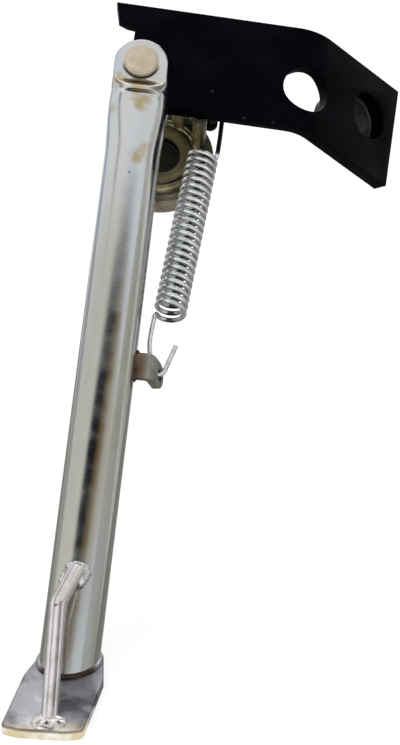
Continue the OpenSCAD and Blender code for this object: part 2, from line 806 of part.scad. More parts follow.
// Each section's first direction is the last one's, turned only as far as the wire turns
function carried(v, direction) = unit(v - direction * (v * direction));
spring_sides = [
    for (i = 0, v = carried([0, 1, 0], tangent(0)); i <= spring_last; i = i + 1, v = carried(v, tangent(min(i, spring_last)))) v
];
section_fn = 6;

module spring() {
    points = [
        for (i = [0 : spring_last]) let (side = spring_sides[i], other = cross(tangent(i), side))
            for (k = [0 : section_fn - 1]) let (turn = 360 * k / section_fn)
                spring_point(spring_path[i] + wire_r * (cos(turn) * side + sin(turn) * other))
    ];
    faces = [
        [for (k = [section_fn - 1 : -1 : 0]) k],
        for (i = [0 : spring_last - 1]) for (k = [0 : section_fn - 1]) let (
            next = (k + 1) % section_fn,
            a = i * section_fn,
            b = a + section_fn
        ) [a + k, a + next, b + next, b + k],
        [for (k = [0 : section_fn - 1]) spring_last * section_fn + k]
    ];
    color(bright_zinc) in_swing_plane() polyhedron(points, faces);
}

bracket_plate();
flange_sleeve();
sleeve_weld();
spring_peg();
backing_disc();
disc_studs();
stud_welds();
disc_nuts();
pivot_bolt();
pivot_washer();
pivot_nut();
leg_tube();
foot_plate();
foot_weld();
kick_rod();
rod_top_weld();
rod_foot_weld();
hook_plate();
hook_weld();
spring();
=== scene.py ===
# %% [markdown]
# # A scooter side stand
#
# The object is a steel tube with its upper end pressed into two flat ears. The ears straddle a bent
# black plate and a bolt joins them, so the tube can swing. A tension spring, a kick rod and a flat
# foot plate complete it. The construction model already fixes every size, so this lesson adds only
# finer surfaces and finishes, in the same place as the solids.

# %% Load the construction model
import json
import math

import bmesh
import bpy
from mathutils import Matrix, Vector, noise


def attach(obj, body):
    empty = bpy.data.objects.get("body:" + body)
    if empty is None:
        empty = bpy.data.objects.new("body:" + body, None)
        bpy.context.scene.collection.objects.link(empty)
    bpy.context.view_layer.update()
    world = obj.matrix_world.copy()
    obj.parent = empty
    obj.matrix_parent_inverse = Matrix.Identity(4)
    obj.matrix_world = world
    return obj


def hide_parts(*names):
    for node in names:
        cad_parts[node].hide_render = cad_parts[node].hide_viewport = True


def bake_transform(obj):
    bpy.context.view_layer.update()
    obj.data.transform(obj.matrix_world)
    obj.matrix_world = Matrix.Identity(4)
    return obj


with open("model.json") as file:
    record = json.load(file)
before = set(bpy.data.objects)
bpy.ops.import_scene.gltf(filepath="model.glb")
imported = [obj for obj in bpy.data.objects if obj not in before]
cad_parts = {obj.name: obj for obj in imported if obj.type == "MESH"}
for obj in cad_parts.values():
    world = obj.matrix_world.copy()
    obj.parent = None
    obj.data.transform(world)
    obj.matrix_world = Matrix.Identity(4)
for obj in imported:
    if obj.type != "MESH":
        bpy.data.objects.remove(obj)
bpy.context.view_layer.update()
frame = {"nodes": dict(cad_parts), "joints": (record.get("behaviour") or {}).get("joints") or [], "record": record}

# %% [markdown]
# ## The directions that the makers worked in
#
# The leg swings in a plane that leans back 47 degrees. It is easiest to draw each piece in
# millimetres in its own upright frame and to let one matrix carry it to its place. There is a
# matrix for the swing plane, one for the leg and one for the bracket.

# %% Frames of the swing plane, the leg and the bracket
SWING_TILT = math.radians(47)
LEG_RAKE = math.radians(6.8)
BRACKET_RAKE = math.radians(9.2)
LEG_OFFSET = 0.85
pivot = Vector(frame["joints"][0]["pos_m"])
millimetres = Matrix.Scale(0.001, 4)
in_swing = Matrix.Translation(pivot) @ Matrix.Rotation(SWING_TILT, 4, "X") @ millimetres
on_leg = in_swing @ Matrix.Rotation(-LEG_RAKE, 4, "Z") @ Matrix.Translation((LEG_OFFSET, 0, 0))
on_bracket = in_swing @ Matrix.Rotation(-BRACKET_RAKE, 4, "Z")
on_ground = millimetres
print("pivot at", [round(c, 4) for c in pivot])

# %% [markdown]
# ## Camera, floor and light
#
# The photograph was taken with a long lens, about 1.2 m from the pivot and a little above it. The
# floor is plain white where the camera sees it, with a faint shadow. Three large soft lamps and an
# even sky light the object. Six cards are there only for the metal to reflect, as in a product
# photographer's tent: without them a bright tube looks flat. The one overhead has the dark stripe
# that runs down the tube, the others are grey ones at the sides, at the back and just above the floor.

# %% Camera
IMAGE_HEIGHT = 745
FOCAL_PIXELS = 3092.8
camera_data = bpy.data.cameras.new("camera")
camera_data.sensor_width = 36
camera_data.lens = FOCAL_PIXELS / IMAGE_HEIGHT * camera_data.sensor_width
camera_data.clip_end = 20
camera = bpy.data.objects.new("camera", camera_data)
view_way, view_up = Vector((0.0398, 0.9472, -0.3182)), Vector((0.0020, 0.3184, 0.9479))
view_right = view_way.cross(view_up)
camera.matrix_world = (Matrix.Translation((0.0035, -1.0382, 0.4648))
                       @ Matrix((view_right, view_up, -view_way)).transposed().to_4x4())
bpy.context.scene.collection.objects.link(camera)
bpy.context.scene.camera = camera
bpy.context.scene.view_settings.view_transform = "Standard"
print("lens", round(camera_data.lens, 1), "mm")


# %% Helpers for shader nodes
def node(tree, kind, inputs=None, **settings):
    """Adds a shader node; an input is a value or another node's output."""
    made = tree.nodes.new("ShaderNode" + kind)
    for key, value in settings.items():
        setattr(made, key, value)
    for label, value in (inputs or {}).items():
        socket = made.inputs[label]
        if isinstance(value, bpy.types.NodeSocket):
            tree.links.new(value, socket)
        else:
            socket.default_value = value
    return made


def seen_rays(tree):
    """1 for rays that come from the camera, a mirror or a glass surface."""
    path = node(tree, "LightPath")
    first = node(tree, "Math", {0: path.outputs["Is Camera Ray"], 1: path.outputs["Is Glossy Ray"]},
                 operation="MAXIMUM")
    both = node(tree, "Math", {0: first.outputs[0], 1: path.outputs["Is Transmission Ray"]},
                operation="MAXIMUM")
    return both.outputs[0]


# %% World
world = bpy.data.worlds.new("studio")
bpy.context.scene.world = world
world.use_nodes = True
sky = world.node_tree
sky.nodes.clear()
SKY_LIGHT = 0.62
lit = node(sky, "Background", {"Color": (1, 1, 1, 1), "Strength": SKY_LIGHT})
seen = node(sky, "Background", {"Color": (1, 1, 1, 1), "Strength": 1.0})
either = node(sky, "MixShader", {0: seen_rays(sky), 1: lit.outputs[0], 2: seen.outputs[0]})
node(sky, "OutputWorld", {"Surface": either.outputs[0]})
print("sky light", SKY_LIGHT)


# %% Floor
def flat_sheet(name, centre, across, along, material):
    """A rectangle that reaches across and along from its centre."""
    corners = [centre - across - along, centre + across - along,
               centre + across + along, centre - across + along]
    mesh = bpy.data.meshes.new(name)
    mesh.from_pydata(corners, [], [(0, 1, 2, 3)])
    mesh.materials.append(material)
    sheet = bpy.data.objects.new(name, mesh)
    bpy.context.scene.collection.objects.link(sheet)
    return sheet


floor_finish = bpy.data.materials.new("white_floor")
floor_finish.use_nodes = True
tree = floor_finish.node_tree
tree.nodes.clear()
seen = seen_rays(tree)
grey = node(tree, "MapRange", {"Value": seen, "To Min": 0.8, "To Max": 0.3})
matt = node(tree, "BsdfDiffuse", {"Color": grey.outputs[0]})
glow_strength = node(tree, "Math", {0: seen, 1: 0.78}, operation="MULTIPLY")
glow = node(tree, "Emission", {"Color": (1, 1, 1, 1), "Strength": glow_strength.outputs[0]})
both = node(tree, "AddShader", {0: matt.outputs[0], 1: glow.outputs[0]})
node(tree, "OutputMaterial", {"Surface": both.outputs[0]})
floor = flat_sheet("floor", Vector((0, 0, 0)), Vector((4, 0, 0)), Vector((0, 4, 0)), floor_finish)
print("floor", [round(2 * c, 1) for c in floor.dimensions[:2]])


# %% Lamps
def soft_lamp(name, place, size, power):
    data = bpy.data.lights.new(name, "AREA")
    data.shape = "RECTANGLE"
    data.size, data.size_y = size
    data.energy = power
    lamp = bpy.data.objects.new(name, data)
    lamp.location = place
    aim = Vector((0.04, 0.1, 0.1)) - Vector(place)
    lamp.rotation_euler = aim.to_track_quat("-Z", "Y").to_euler()
    bpy.context.scene.collection.objects.link(lamp)
    return lamp


soft_lamp("key_lamp", (-1.5, -1.2, 1.7), (1.1, 1.1), 17)
soft_lamp("fill_lamp", (1.7, -0.7, 1.0), (0.9, 1.2), 7)
soft_lamp("rear_lamp", (0.4, 1.8, 1.5), (1.4, 0.8), 9)


# %% Cards that only the metal sees
def card(name, centre, across, along, paint):
    """A glowing sheet for reflections only; paint(tree) gives its colour."""
    finish = bpy.data.materials.new(name)
    finish.use_nodes = True
    tree = finish.node_tree
    tree.nodes.clear()
    glow = node(tree, "Emission", {"Color": paint(tree), "Strength": 1.0})
    node(tree, "OutputMaterial", {"Surface": glow.outputs[0]})
    sheet = flat_sheet(name, Vector(centre), Vector(across), Vector(along), finish)
    sheet.visible_camera = sheet.visible_diffuse = sheet.visible_shadow = False
    sheet.visible_transmission = sheet.visible_volume_scatter = False
    return sheet


def plain(red, green, blue):
    return lambda tree: (red, green, blue, 1)


def colour_ramp(tree, value, stops):
    """A colour ramp from (place, colour) pairs."""
    ramp = node(tree, "ValToRGB", {0: value})
    elements = ramp.color_ramp.elements
    elements.remove(elements[1])
    elements[0].position = stops[0][0]
    elements[0].color = (*stops[0][1], 1)
    for place, colour in stops[1:]:
        elements.new(place).color = (*colour, 1)
    return ramp.outputs[0]


OVERHEAD = (0, -0.20, 0.66375)
OVERHEAD_ACROSS, OVERHEAD_ALONG = (0.9, 0, 0), (0, 0.30, 0.13125)


def overhead_paint(tree):
    """A slanting dark stripe with a brown edge on its right, fading out towards the back."""
    parts = node(tree, "SeparateXYZ", {0: node(tree, "TexCoord").outputs["Object"]})
    slant = node(tree, "MapRange", {"Value": parts.outputs["Y"], "From Min": -0.38, "From Max": -0.18,
                                    "To Min": 0.36, "To Max": 0.0}, clamp=False)
    across = node(tree, "Math", {0: parts.outputs["X"], 1: slant.outputs[0]}, operation="ADD")
    place = node(tree, "MapRange", {"Value": across.outputs[0], "From Min": -0.9, "From Max": 0.9})
    stops = [(0.0, (1, 1, 1)), (0.10, (1, 1, 1)), (0.24, (0.8, 0.8, 0.78)), (0.325, (0.42, 0.42, 0.42)),
             (0.36, (0.01, 0.012, 0.03)), (0.55, (0.008, 0.01, 0.025)), (0.585, (0.15, 0.105, 0.045)),
             (0.68, (0.34, 0.27, 0.16)), (0.78, (0.72, 0.70, 0.62)), (1.0, (0.85, 0.85, 0.82))]
    colours = colour_ramp(tree, place.outputs[0], stops)
    fade = node(tree, "MapRange", {"Value": parts.outputs["Y"], "From Min": -0.15, "From Max": -0.06},
                interpolation_type="SMOOTHSTEP")
    near = node(tree, "MapRange", {"Value": parts.outputs["Y"], "From Min": -0.322, "From Max": -0.342},
                interpolation_type="SMOOTHSTEP")
    most = node(tree, "Math", {0: fade.outputs[0], 1: near.outputs[0]}, operation="MAXIMUM")
    mix = node(tree, "Mix", {"Factor": most.outputs[0]}, data_type="RGBA")
    tree.links.new(colours, mix.inputs["A"])
    mix.inputs["B"].default_value = (1, 1, 1, 1)
    return mix.outputs["Result"]


card("overhead_card", OVERHEAD, OVERHEAD_ACROSS, OVERHEAD_ALONG, overhead_paint)
card("right_card", (0.75, -0.10, 0.30), (0, 0.38, 0), (0, 0, 0.30), plain(0.60, 0.58, 0.52))
card("right_rear_card", (0.7, 0.75, 0.05), (-0.26, 0.24, 0), (0, 0, 0.22), plain(0.45, 0.46, 0.50))
card("left_rear_card", (-0.7, 0.75, 0.05), (0.26, 0.24, 0), (0, 0, 0.22), plain(0.55, 0.57, 0.60))


def rear_paint(tree):
    """White over the middle, darker towards both sides."""
    across = node(tree, "SeparateXYZ", {0: node(tree, "TexCoord").outputs["Object"]}).outputs["X"]
    place = node(tree, "MapRange", {"Value": across, "From Min": -1.3, "From Max": 1.3})
    stops = [(0.0, (0.30, 0.30, 0.31)), (0.33, (0.36, 0.36, 0.37)), (0.44, (1.1, 1.08, 1.1)),
             (0.53, (1.1, 1.08, 1.1)), (0.63, (0.30, 0.28, 0.27)), (1.0, (0.2, 0.19, 0.19))]
    return colour_ramp(tree, place.outputs[0], stops)


card("rear_card", (0.35, 0.45, 0.80), (0.95, 0, 0), (0, 0.30, 0.05), rear_paint)
card("low_card", (0.03, 0.30, 0.0004), (0.5, 0, 0), (0, 0.33, 0), plain(0.36, 0.35, 0.34))
print("lamps and cards in place")

# %% [markdown]
# ## Shared effects for the finishes
#
# Zinc plating on steel is never one grey. It has long faint streaks from drawing the tube, blue and
# straw clouds from the passivation bath, and brown stains where water sat or a weld was hot. Each
# effect is a node group that gives out a mask, so that every finish can use it with its own values.


# %% Group maker
def shader_group(name, inputs, outputs, build):
    """A node group: inputs are (name, value) pairs, outputs are names of float masks."""
    kinds = {float: "NodeSocketFloat", tuple: "NodeSocketVector"}
    tree = bpy.data.node_groups.new(name, "ShaderNodeTree")
    for label, value in inputs:
        socket = tree.interface.new_socket(label, in_out="INPUT", socket_type=kinds[type(value)])
        socket.default_value = value
    for label in outputs:
        tree.interface.new_socket(label, in_out="OUTPUT", socket_type="NodeSocketFloat")
    entry = tree.nodes.new("NodeGroupInput")
    leave = tree.nodes.new("NodeGroupOutput")
    build(tree, entry.outputs, leave.inputs)
    return tree


def smooth_range(tree, value, low, high, start=0.0, end=1.0):
    made = node(tree, "MapRange", {"Value": value, "From Min": low, "From Max": high,
                                   "To Min": start, "To Max": end}, interpolation_type="SMOOTHSTEP")
    return made.outputs[0]


# %% Streaks, clouds and stains
def build_streaks(tree, given, out):
    one_way = node(tree, "CombineXYZ", {"X": 1.0, "Y": given["Stretch"], "Z": 1.0})
    drawn = node(tree, "VectorMath", {0: given["Vector"], 1: one_way.outputs[0]}, operation="MULTIPLY")
    cloud = node(tree, "TexNoise", {"Vector": drawn.outputs[0], "W": given["Seed"], "Scale": given["Scale"],
                                    "Detail": 3.0, "Roughness": 0.55}, noise_dimensions="4D")
    tree.links.new(smooth_range(tree, cloud.outputs["Fac"], given["Low"], given["High"]), out["Mask"])


def build_stain(tree, given, out):
    away = node(tree, "VectorMath", {0: given["Vector"], 1: given["Centre"]}, operation="DISTANCE")
    share = node(tree, "Math", {0: away.outputs["Value"], 1: given["Radius"]}, operation="DIVIDE")
    ragged = node(tree, "TexNoise", {"Vector": given["Vector"], "Scale": given["Scale"], "Detail": 4.0})
    pushed = node(tree, "Math", {0: ragged.outputs["Fac"], 1: 1.6, 2: share.outputs[0]},
                  operation="MULTIPLY_ADD")
    tree.links.new(smooth_range(tree, pushed.outputs[0], 0.9, 1.9, 1.0, 0.0), out["Mask"])


here = (0.0, 0.0, 0.0)
streaks = shader_group("drawing_streaks", [("Vector", here), ("Seed", 0.0), ("Scale", 60.0),
                                           ("Stretch", 0.06), ("Low", 0.45), ("High", 0.65)],
                       ["Mask"], build_streaks)
stain = shader_group("water_stain", [("Vector", here), ("Centre", here), ("Radius", 0.005),
                                     ("Scale", 400.0)], ["Mask"], build_stain)
print("groups:", [g.name for g in bpy.data.node_groups])

# %% [markdown]
# ## Finishes
#
# A helper starts each material: it gives the shader its constants and hands back the object's
# coordinates, turned into the leg's or the bracket's own frame, so that streaks run along the
# piece. `tint` lays one more colour over the last through a mask.


# %% Finish maker
def start_finish(name, metallic, roughness, place, specular=0.5):
    finish = bpy.data.materials.new(name)
    finish.use_nodes = True
    tree = finish.node_tree
    tree.nodes.clear()
    shader = node(tree, "BsdfPrincipled", {"Metallic": metallic, "Roughness": roughness,
                                           "Specular IOR Level": specular})
    node(tree, "OutputMaterial", {"Surface": shader.outputs[0]})
    coords = node(tree, "TexCoord").outputs["Object"]
    turn = place.to_3x3().normalized()
    back = turn.inverted()
    shift = -(back @ place.translation)
    own = node(tree, "Mapping", {"Vector": coords, "Location": shift, "Rotation": back.to_euler()},
               vector_type="POINT")
    return finish, tree, shader, own.outputs[0]


def tint(tree, under, over, mask, most=1.0):
    """Lays the colour over onto the colour under where the mask is 1."""
    share = node(tree, "Math", {0: mask, 1: most}, operation="MULTIPLY")
    mix = node(tree, "Mix", data_type="RGBA")
    tree.links.new(share.outputs[0], mix.inputs["Factor"])
    for socket, value in ((mix.inputs["A"], under), (mix.inputs["B"], over)):
        if isinstance(value, bpy.types.NodeSocket):
            tree.links.new(value, socket)
        else:
            socket.default_value = (*value, 1)
    return mix.outputs["Result"]


def group(tree, shared, **inputs):
    made = tree.nodes.new("ShaderNodeGroup")
    made.node_tree = shared
    for label, value in inputs.items():
        socket = made.inputs[label.replace("_", " ")]
        if isinstance(value, bpy.types.NodeSocket):
            tree.links.new(value, socket)
        else:
            socket.default_value = value
    return made.outputs["Mask"]


def grain(tree, shader, coords, scale, depth, rough_low, rough_high):
    """Fine unevenness: a little bump, and roughness that wanders between two values."""
    fine = node(tree, "TexNoise", {"Vector": coords, "Scale": scale, "Detail": 5.0, "Roughness": 0.6})
    bump = node(tree, "Bump", {"Height": fine.outputs["Fac"], "Strength": 0.5, "Distance": depth})
    tree.links.new(bump.outputs[0], shader.inputs["Normal"])
    wide = node(tree, "TexNoise", {"Vector": coords, "Scale": scale * 0.12, "Detail": 3.0})
    roughness = smooth_range(tree, wide.outputs["Fac"], 0.3, 0.7, rough_low, rough_high)
    tree.links.new(roughness, shader.inputs["Roughness"])


# %% Plated tube
def plated_tube():
    finish, tree, shader, own = start_finish("plated_tube", 1.0, 0.24, on_leg)
    parts = node(tree, "SeparateXYZ", {0: own})
    lower = smooth_range(tree, parts.outputs["Y"], -0.10, -0.035, 1.0, 0.0)
    colour = tint(tree, (0.56, 0.575, 0.57), (0.43, 0.425, 0.385), lower)
    colour = tint(tree, colour, (0.50, 0.55, 0.64),
                  group(tree, streaks, Vector=own, Seed=1.0, Scale=90.0, Stretch=0.05, Low=0.45, High=0.62), 0.6)
    colour = tint(tree, colour, (0.58, 0.55, 0.42),
                  group(tree, streaks, Vector=own, Seed=4.0, Scale=70.0, Stretch=0.04, Low=0.50, High=0.68), 0.6)
    colour = tint(tree, colour, (0.26, 0.25, 0.25),
                  group(tree, streaks, Vector=own, Seed=8.0, Scale=160.0, Stretch=0.03, Low=0.60, High=0.74), 0.4)
    marks = (  # centre, radius and strength of each brown stain
        ((-0.0085, -0.0100, 0.0075), 0.0052, 0.9), ((0.0008, -0.0110, 0.0085), 0.0056, 0.75),
        ((0.0075, -0.0102, 0.0085), 0.0040, 0.55), ((0.0012, -0.0192, 0.0098), 0.0048, 0.85),
        ((0.0014, -0.0225, 0.0098), 0.0032, 0.7), ((0.0046, -0.0405, 0.0105), 0.0036, 0.6),
        ((0.0028, -0.0455, 0.0112), 0.0038, 0.7), ((-0.0098, -0.0235, 0.0065), 0.0035, 0.5),
        ((-0.0015, -0.0140, 0.0098), 0.0035, 0.7))
    for centre, radius, most in marks:
        mark = group(tree, stain, Vector=own, Centre=centre, Radius=radius, Scale=300.0)
        colour = tint(tree, colour, (0.40, 0.30, 0.13), mark, most)
    # Painted shadow: a dark brown ring on the tube round the lower half of the bolt head, where its shade falls.
    away = node(tree, "VectorMath", {0: own, 1: (-0.00085, 0.0, 0.006)}, operation="DISTANCE")
    near_bolt = smooth_range(tree, away.outputs["Value"], 0.0082, 0.0072)
    below = smooth_range(tree, parts.outputs["Y"], 0.0005, -0.0045)
    painted_bolt_shadow = node(tree, "Math", {0: near_bolt, 1: below}, operation="MULTIPLY")
    colour = tint(tree, colour, (0.045, 0.032, 0.02), painted_bolt_shadow.outputs[0], 0.9)
    speck = group(tree, stain, Vector=own, Centre=(0.0001, -0.0525, 0.0111), Radius=0.0008, Scale=300.0)
    colour = tint(tree, colour, (0.12, 0.12, 0.12), speck, 0.8)
    tree.links.new(colour, shader.inputs["Base Color"])
    grain(tree, shader, own, 900.0, 0.00003, 0.12, 0.22)
    return finish


# %% Bright and dull zinc
def zinc(name, place, light, dark, rough, scale=300.0):
    finish, tree, shader, own = start_finish(name, 1.0, rough, place)
    colour = tint(tree, light, dark,
                  group(tree, streaks, Vector=own, Seed=7.0, Scale=scale, Stretch=0.3, Low=0.4, High=0.7))
    straw = group(tree, streaks, Vector=own, Seed=9.0, Scale=scale * 0.4, Stretch=1.0, Low=0.55, High=0.75)
    colour = tint(tree, colour, (0.55, 0.50, 0.40), straw, 0.5)
    tree.links.new(colour, shader.inputs["Base Color"])
    grain(tree, shader, own, 1200.0, 0.00003, rough * 0.8, rough * 1.4)
    return finish


# %% The sole and the hook plate
def plated_sole():
    finish, tree, shader, own = start_finish("plated_sheet", 1.0, 0.3, on_ground)
    colour = tint(tree, (0.25, 0.245, 0.27), (0.055, 0.055, 0.068),
                  group(tree, streaks, Vector=own, Seed=2.0, Scale=55.0, Stretch=0.8, Low=0.42, High=0.58), 0.9)
    colour = tint(tree, colour, (0.33, 0.33, 0.35),
                  group(tree, streaks, Vector=own, Seed=11.0, Scale=110.0, Stretch=0.7, Low=0.55, High=0.7), 0.6)
    parts = node(tree, "SeparateXYZ", {0: own})
    edge = smooth_range(tree, parts.outputs["Z"], 0.0030, 0.0024)
    front = smooth_range(tree, parts.outputs["Y"], -0.040, -0.050)
    rim = node(tree, "Math", {0: edge, 1: front}, operation="MULTIPLY")
    strip = smooth_range(tree, parts.outputs["Y"], -0.046, -0.056)
    colour = tint(tree, colour, (0.40, 0.33, 0.22), strip, 0.45)
    # The lower front edge is tinted cream, with near-white patches along it.
    colour = tint(tree, colour, (0.78, 0.66, 0.40), rim.outputs[0], 0.85)
    patch_streaks = group(tree, streaks, Vector=own, Seed=15.0, Scale=75.0, Stretch=1.0, Low=0.45, High=0.6)
    pale_edge_patches = node(tree, "Math", {0: rim.outputs[0], 1: patch_streaks}, operation="MULTIPLY")
    colour = tint(tree, colour, (0.95, 0.93, 0.90), pale_edge_patches.outputs[0], 0.8)
    tree.links.new(colour, shader.inputs["Base Color"])
    grain(tree, shader, own, 700.0, 0.00005, 0.22, 0.42)
    return finish


def hook_sheet():
    finish, tree, shader, own = start_finish("hook_sheet", 1.0, 0.3, on_leg)
    colour = tint(tree, (0.30, 0.29, 0.25), (0.18, 0.175, 0.15),
                  group(tree, streaks, Vector=own, Seed=12.0, Scale=180.0, Stretch=0.8, Low=0.4, High=0.65), 0.8)
    parts = node(tree, "SeparateXYZ", {0: own})
    burnt = smooth_range(tree, parts.outputs["X"], 0.0165, 0.0125)
    colour = tint(tree, colour, (0.16, 0.10, 0.06), burnt, 0.85)
    tree.links.new(colour, shader.inputs["Base Color"])
    grain(tree, shader, own, 900.0, 0.00005, 0.25, 0.42)
    return finish


# %% Black paint
def black_paint():
    finish, tree, shader, own = start_finish("black_paint", 0.0, 0.4, on_bracket, specular=0.02)
    colour = tint(tree, (0.0006, 0.0007, 0.0020), (0.0018, 0.0018, 0.0040),
                  group(tree, streaks, Vector=own, Seed=2.0, Scale=60.0, Stretch=1.0, Low=0.4, High=0.7))
    chips = (((0.0440, -0.0170, 0.0026), 0.0010), ((0.0555, -0.0170, 0.0026), 0.0009),
             ((0.0298, -0.0071, 0.0034), 0.0008))
    for centre, radius in chips:
        mark = group(tree, stain, Vector=own, Centre=centre, Radius=radius, Scale=900.0)
        colour = tint(tree, colour, (0.035, 0.035, 0.036), mark, 0.8)
    tree.links.new(colour, shader.inputs["Base Color"])
    grain(tree, shader, own, 500.0, 0.00008, 0.32, 0.5)
    return finish


# %% Welds and the bolt's coating
def weld_metal(name, place, light, dark, metallic=0.9):
    finish, tree, shader, own = start_finish(name, metallic, 0.45, place)
    colour = tint(tree, light, dark,
                  group(tree, streaks, Vector=own, Seed=5.0, Scale=350.0, Stretch=1.0, Low=0.35, High=0.6))
    tree.links.new(colour, shader.inputs["Base Color"])
    grain(tree, shader, own, 1500.0, 0.00015, 0.35, 0.6)
    return finish


def bolt_coating():
    finish, tree, shader, own = start_finish("tan_bolt", 0.25, 0.5, in_swing)
    colour = tint(tree, (0.58, 0.49, 0.37), (0.50, 0.43, 0.33),
                  group(tree, streaks, Vector=own, Seed=3.0, Scale=260.0, Stretch=1.0, Low=0.4, High=0.65))
    tree.links.new(colour, shader.inputs["Base Color"])
    grain(tree, shader, own, 1500.0, 0.00006, 0.4, 0.58)
    return finish


# %% Olive passivated disc, with painted shade in its well, groove and step
DISC_CENTRE = (11.8, -23.3, -25)
DISC_R = 21.6
on_disc = on_bracket @ Matrix.Translation(DISC_CENTRE)


def olive_disc():
    finish, tree, shader, own = start_finish("olive_disc", 0.85, 0.35, on_disc)
    parts = node(tree, "SeparateXYZ", {0: own})
    flat = node(tree, "CombineXYZ", {"X": parts.outputs["X"], "Y": parts.outputs["Y"]})
    radius = node(tree, "VectorMath", {0: flat.outputs[0]}, operation="LENGTH")
    share = node(tree, "Math", {0: radius.outputs["Value"], 1: DISC_R * 0.001}, operation="DIVIDE")
    # The light rings are the olive zinc; the dark rings are painted shade in the well, the groove and the step.
    rings = [(0.0, (0.05, 0.05, 0.035)), (0.30, (0.035, 0.035, 0.03)), (0.37, (0.012, 0.012, 0.014)),
             (0.42, (0.48, 0.42, 0.22)), (0.56, (0.30, 0.255, 0.13)), (0.61, (0.03, 0.022, 0.03)),
             (0.66, (0.55, 0.50, 0.28)), (0.74, (0.44, 0.38, 0.20)), (0.79, (0.06, 0.055, 0.035)),
             (0.90, (0.32, 0.31, 0.24)), (1.0, (0.42, 0.38, 0.28))]
    ringed_with_painted_shade = colour_ramp(tree, share.outputs[0], rings)
    colour = tint(tree, ringed_with_painted_shade, (0.03, 0.03, 0.025),
                  group(tree, streaks, Vector=own, Seed=6.0, Scale=120.0, Stretch=1.0, Low=0.45, High=0.7), 0.6)
    tree.links.new(colour, shader.inputs["Base Color"])
    grain(tree, shader, own, 900.0, 0.00005, 0.25, 0.45)
    return finish


finishes = {
    "plated_tube": plated_tube(),
    "plated_sheet": plated_sole(),
    "hook_sheet": hook_sheet(),
    "bright_zinc": zinc("bright_zinc", on_leg, (0.60, 0.62, 0.62), (0.42, 0.43, 0.42), 0.2),
    "dull_zinc": zinc("dull_zinc", on_bracket, (0.45, 0.46, 0.45), (0.33, 0.33, 0.30), 0.35),
    "tan_zinc": bolt_coating(),
    "yellow_zinc": olive_disc(),
    "black_paint": black_paint(),
    "weld_bead": weld_metal("weld_bead", on_leg, (0.11, 0.085, 0.07), (0.035, 0.027, 0.022)),
    "plated_weld": zinc("plated_weld", on_leg, (0.66, 0.67, 0.68), (0.34, 0.34, 0.34), 0.24, 500.0),
    "sleeve_paint": weld_metal("sleeve_paint", on_bracket, (0.016, 0.016, 0.024), (0.008, 0.008, 0.013), 0.0),
    "painted_weld": weld_metal("painted_weld", on_bracket, (0.003, 0.003, 0.005), (0.0015, 0.0015, 0.003), 0.0),
}
print("finishes:", sorted(finishes))

# %% [markdown]
# ## Mesh helpers
#
# Most pieces are either turned (a bolt, a disc), lofted through a row of sections (the tube) or
# drawn along a path (wire, rod, weld bead). One helper turns rings of points into a closed skin.
# Another makes the object, checks its normals and marks its sharp edges. Each finished piece rides
# on its body and stands for its solid.


# %% Skins from rings
def skin(rings, closed=True, caps=True):
    """Joins rings of equal length with quads; the first and last ring may be capped."""
    count = len(rings[0])
    points = [p for ring in rings for p in ring]
    faces = []
    for row in range(len(rings) - 1):
        for i in range(count if closed else count - 1):
            j = (i + 1) % count
            a, b = row * count, (row + 1) * count
            faces.append((a + i, a + j, b + j, b + i))
    if caps:
        last = (len(rings) - 1) * count
        faces.append(tuple(range(count - 1, -1, -1)))
        faces.append(tuple(last + i for i in range(count)))
    return points, faces


def turned(profile, segments=64, around=None):
    """A turned piece: profile is (radius, height) pairs from the axis back to the axis."""
    rings = []
    for k in range(segments):
        angle = 2 * math.pi * k / segments
        grow = around(angle) if around else 1.0
        rings.append([(r * grow * math.cos(angle), r * grow * math.sin(angle), z) for r, z in profile])
    return skin(rings + [rings[0]], closed=False, caps=False)


def join(*parts):
    """Puts several (points, faces) pairs into one."""
    points, faces = [], []
    for more_points, more_faces in parts:
        base = len(points)
        points += list(more_points)
        faces += [tuple(base + i for i in face) for face in more_faces]
    return points, faces


def moved(part, place):
    points, faces = part
    return [place @ Vector(p) for p in points], faces


# %% Objects from skins
pieces = []


def make_piece(name, part, place, body, slot, finish=None, stands_for=(), sharp=38):
    """A finished object: welded points, outward normals, sharp edges, a material and a body; the slot picks the
    material when no finish is given.
    """
    points, faces = part
    mesh = bpy.data.meshes.new(name)
    mesh.from_pydata([place @ Vector(p) for p in points], [], faces)
    work = bmesh.new()
    work.from_mesh(mesh)
    bmesh.ops.remove_doubles(work, verts=work.verts, dist=2e-6)
    bmesh.ops.dissolve_degenerate(work, edges=work.edges, dist=1e-7)
    bmesh.ops.recalc_face_normals(work, faces=work.faces)
    work.to_mesh(mesh)
    open_edges = sum(1 for e in work.edges if not e.is_manifold)
    work.free()
    mesh.shade_smooth()
    mesh.set_sharp_from_angle(angle=math.radians(sharp))
    mesh.materials.append(finishes[finish or slot])
    piece = bpy.data.objects.new(name, mesh)
    bpy.context.scene.collection.objects.link(piece)
    settle(piece, body, stands_for)
    print(f"{name}: {len(mesh.polygons)} faces, {open_edges} open edges")
    return piece


def settle(piece, body, stands_for):
    """A piece rides on one body; given (body, body, start, end) it is only baked in place."""
    if isinstance(body, tuple):
        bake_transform(piece)
    else:
        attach(piece, body)
    if stands_for:
        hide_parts(*stands_for)
    pieces.append(piece)


# %% [markdown]
# ## The leg tube
#
# The tube is 22 mm round, and its top is pressed flat into two ears with a slot between them. The
# pressed stretch is the piece's character: a flat ear, a short slope, a broad flattened face that
# rounds out again down the leg. A loft does that best. Every section is a box with round corners,
# whose width, depth and corner radius change down the leg until it is a circle. Above the slot's
# floor the loft splits into a front and a back tongue.

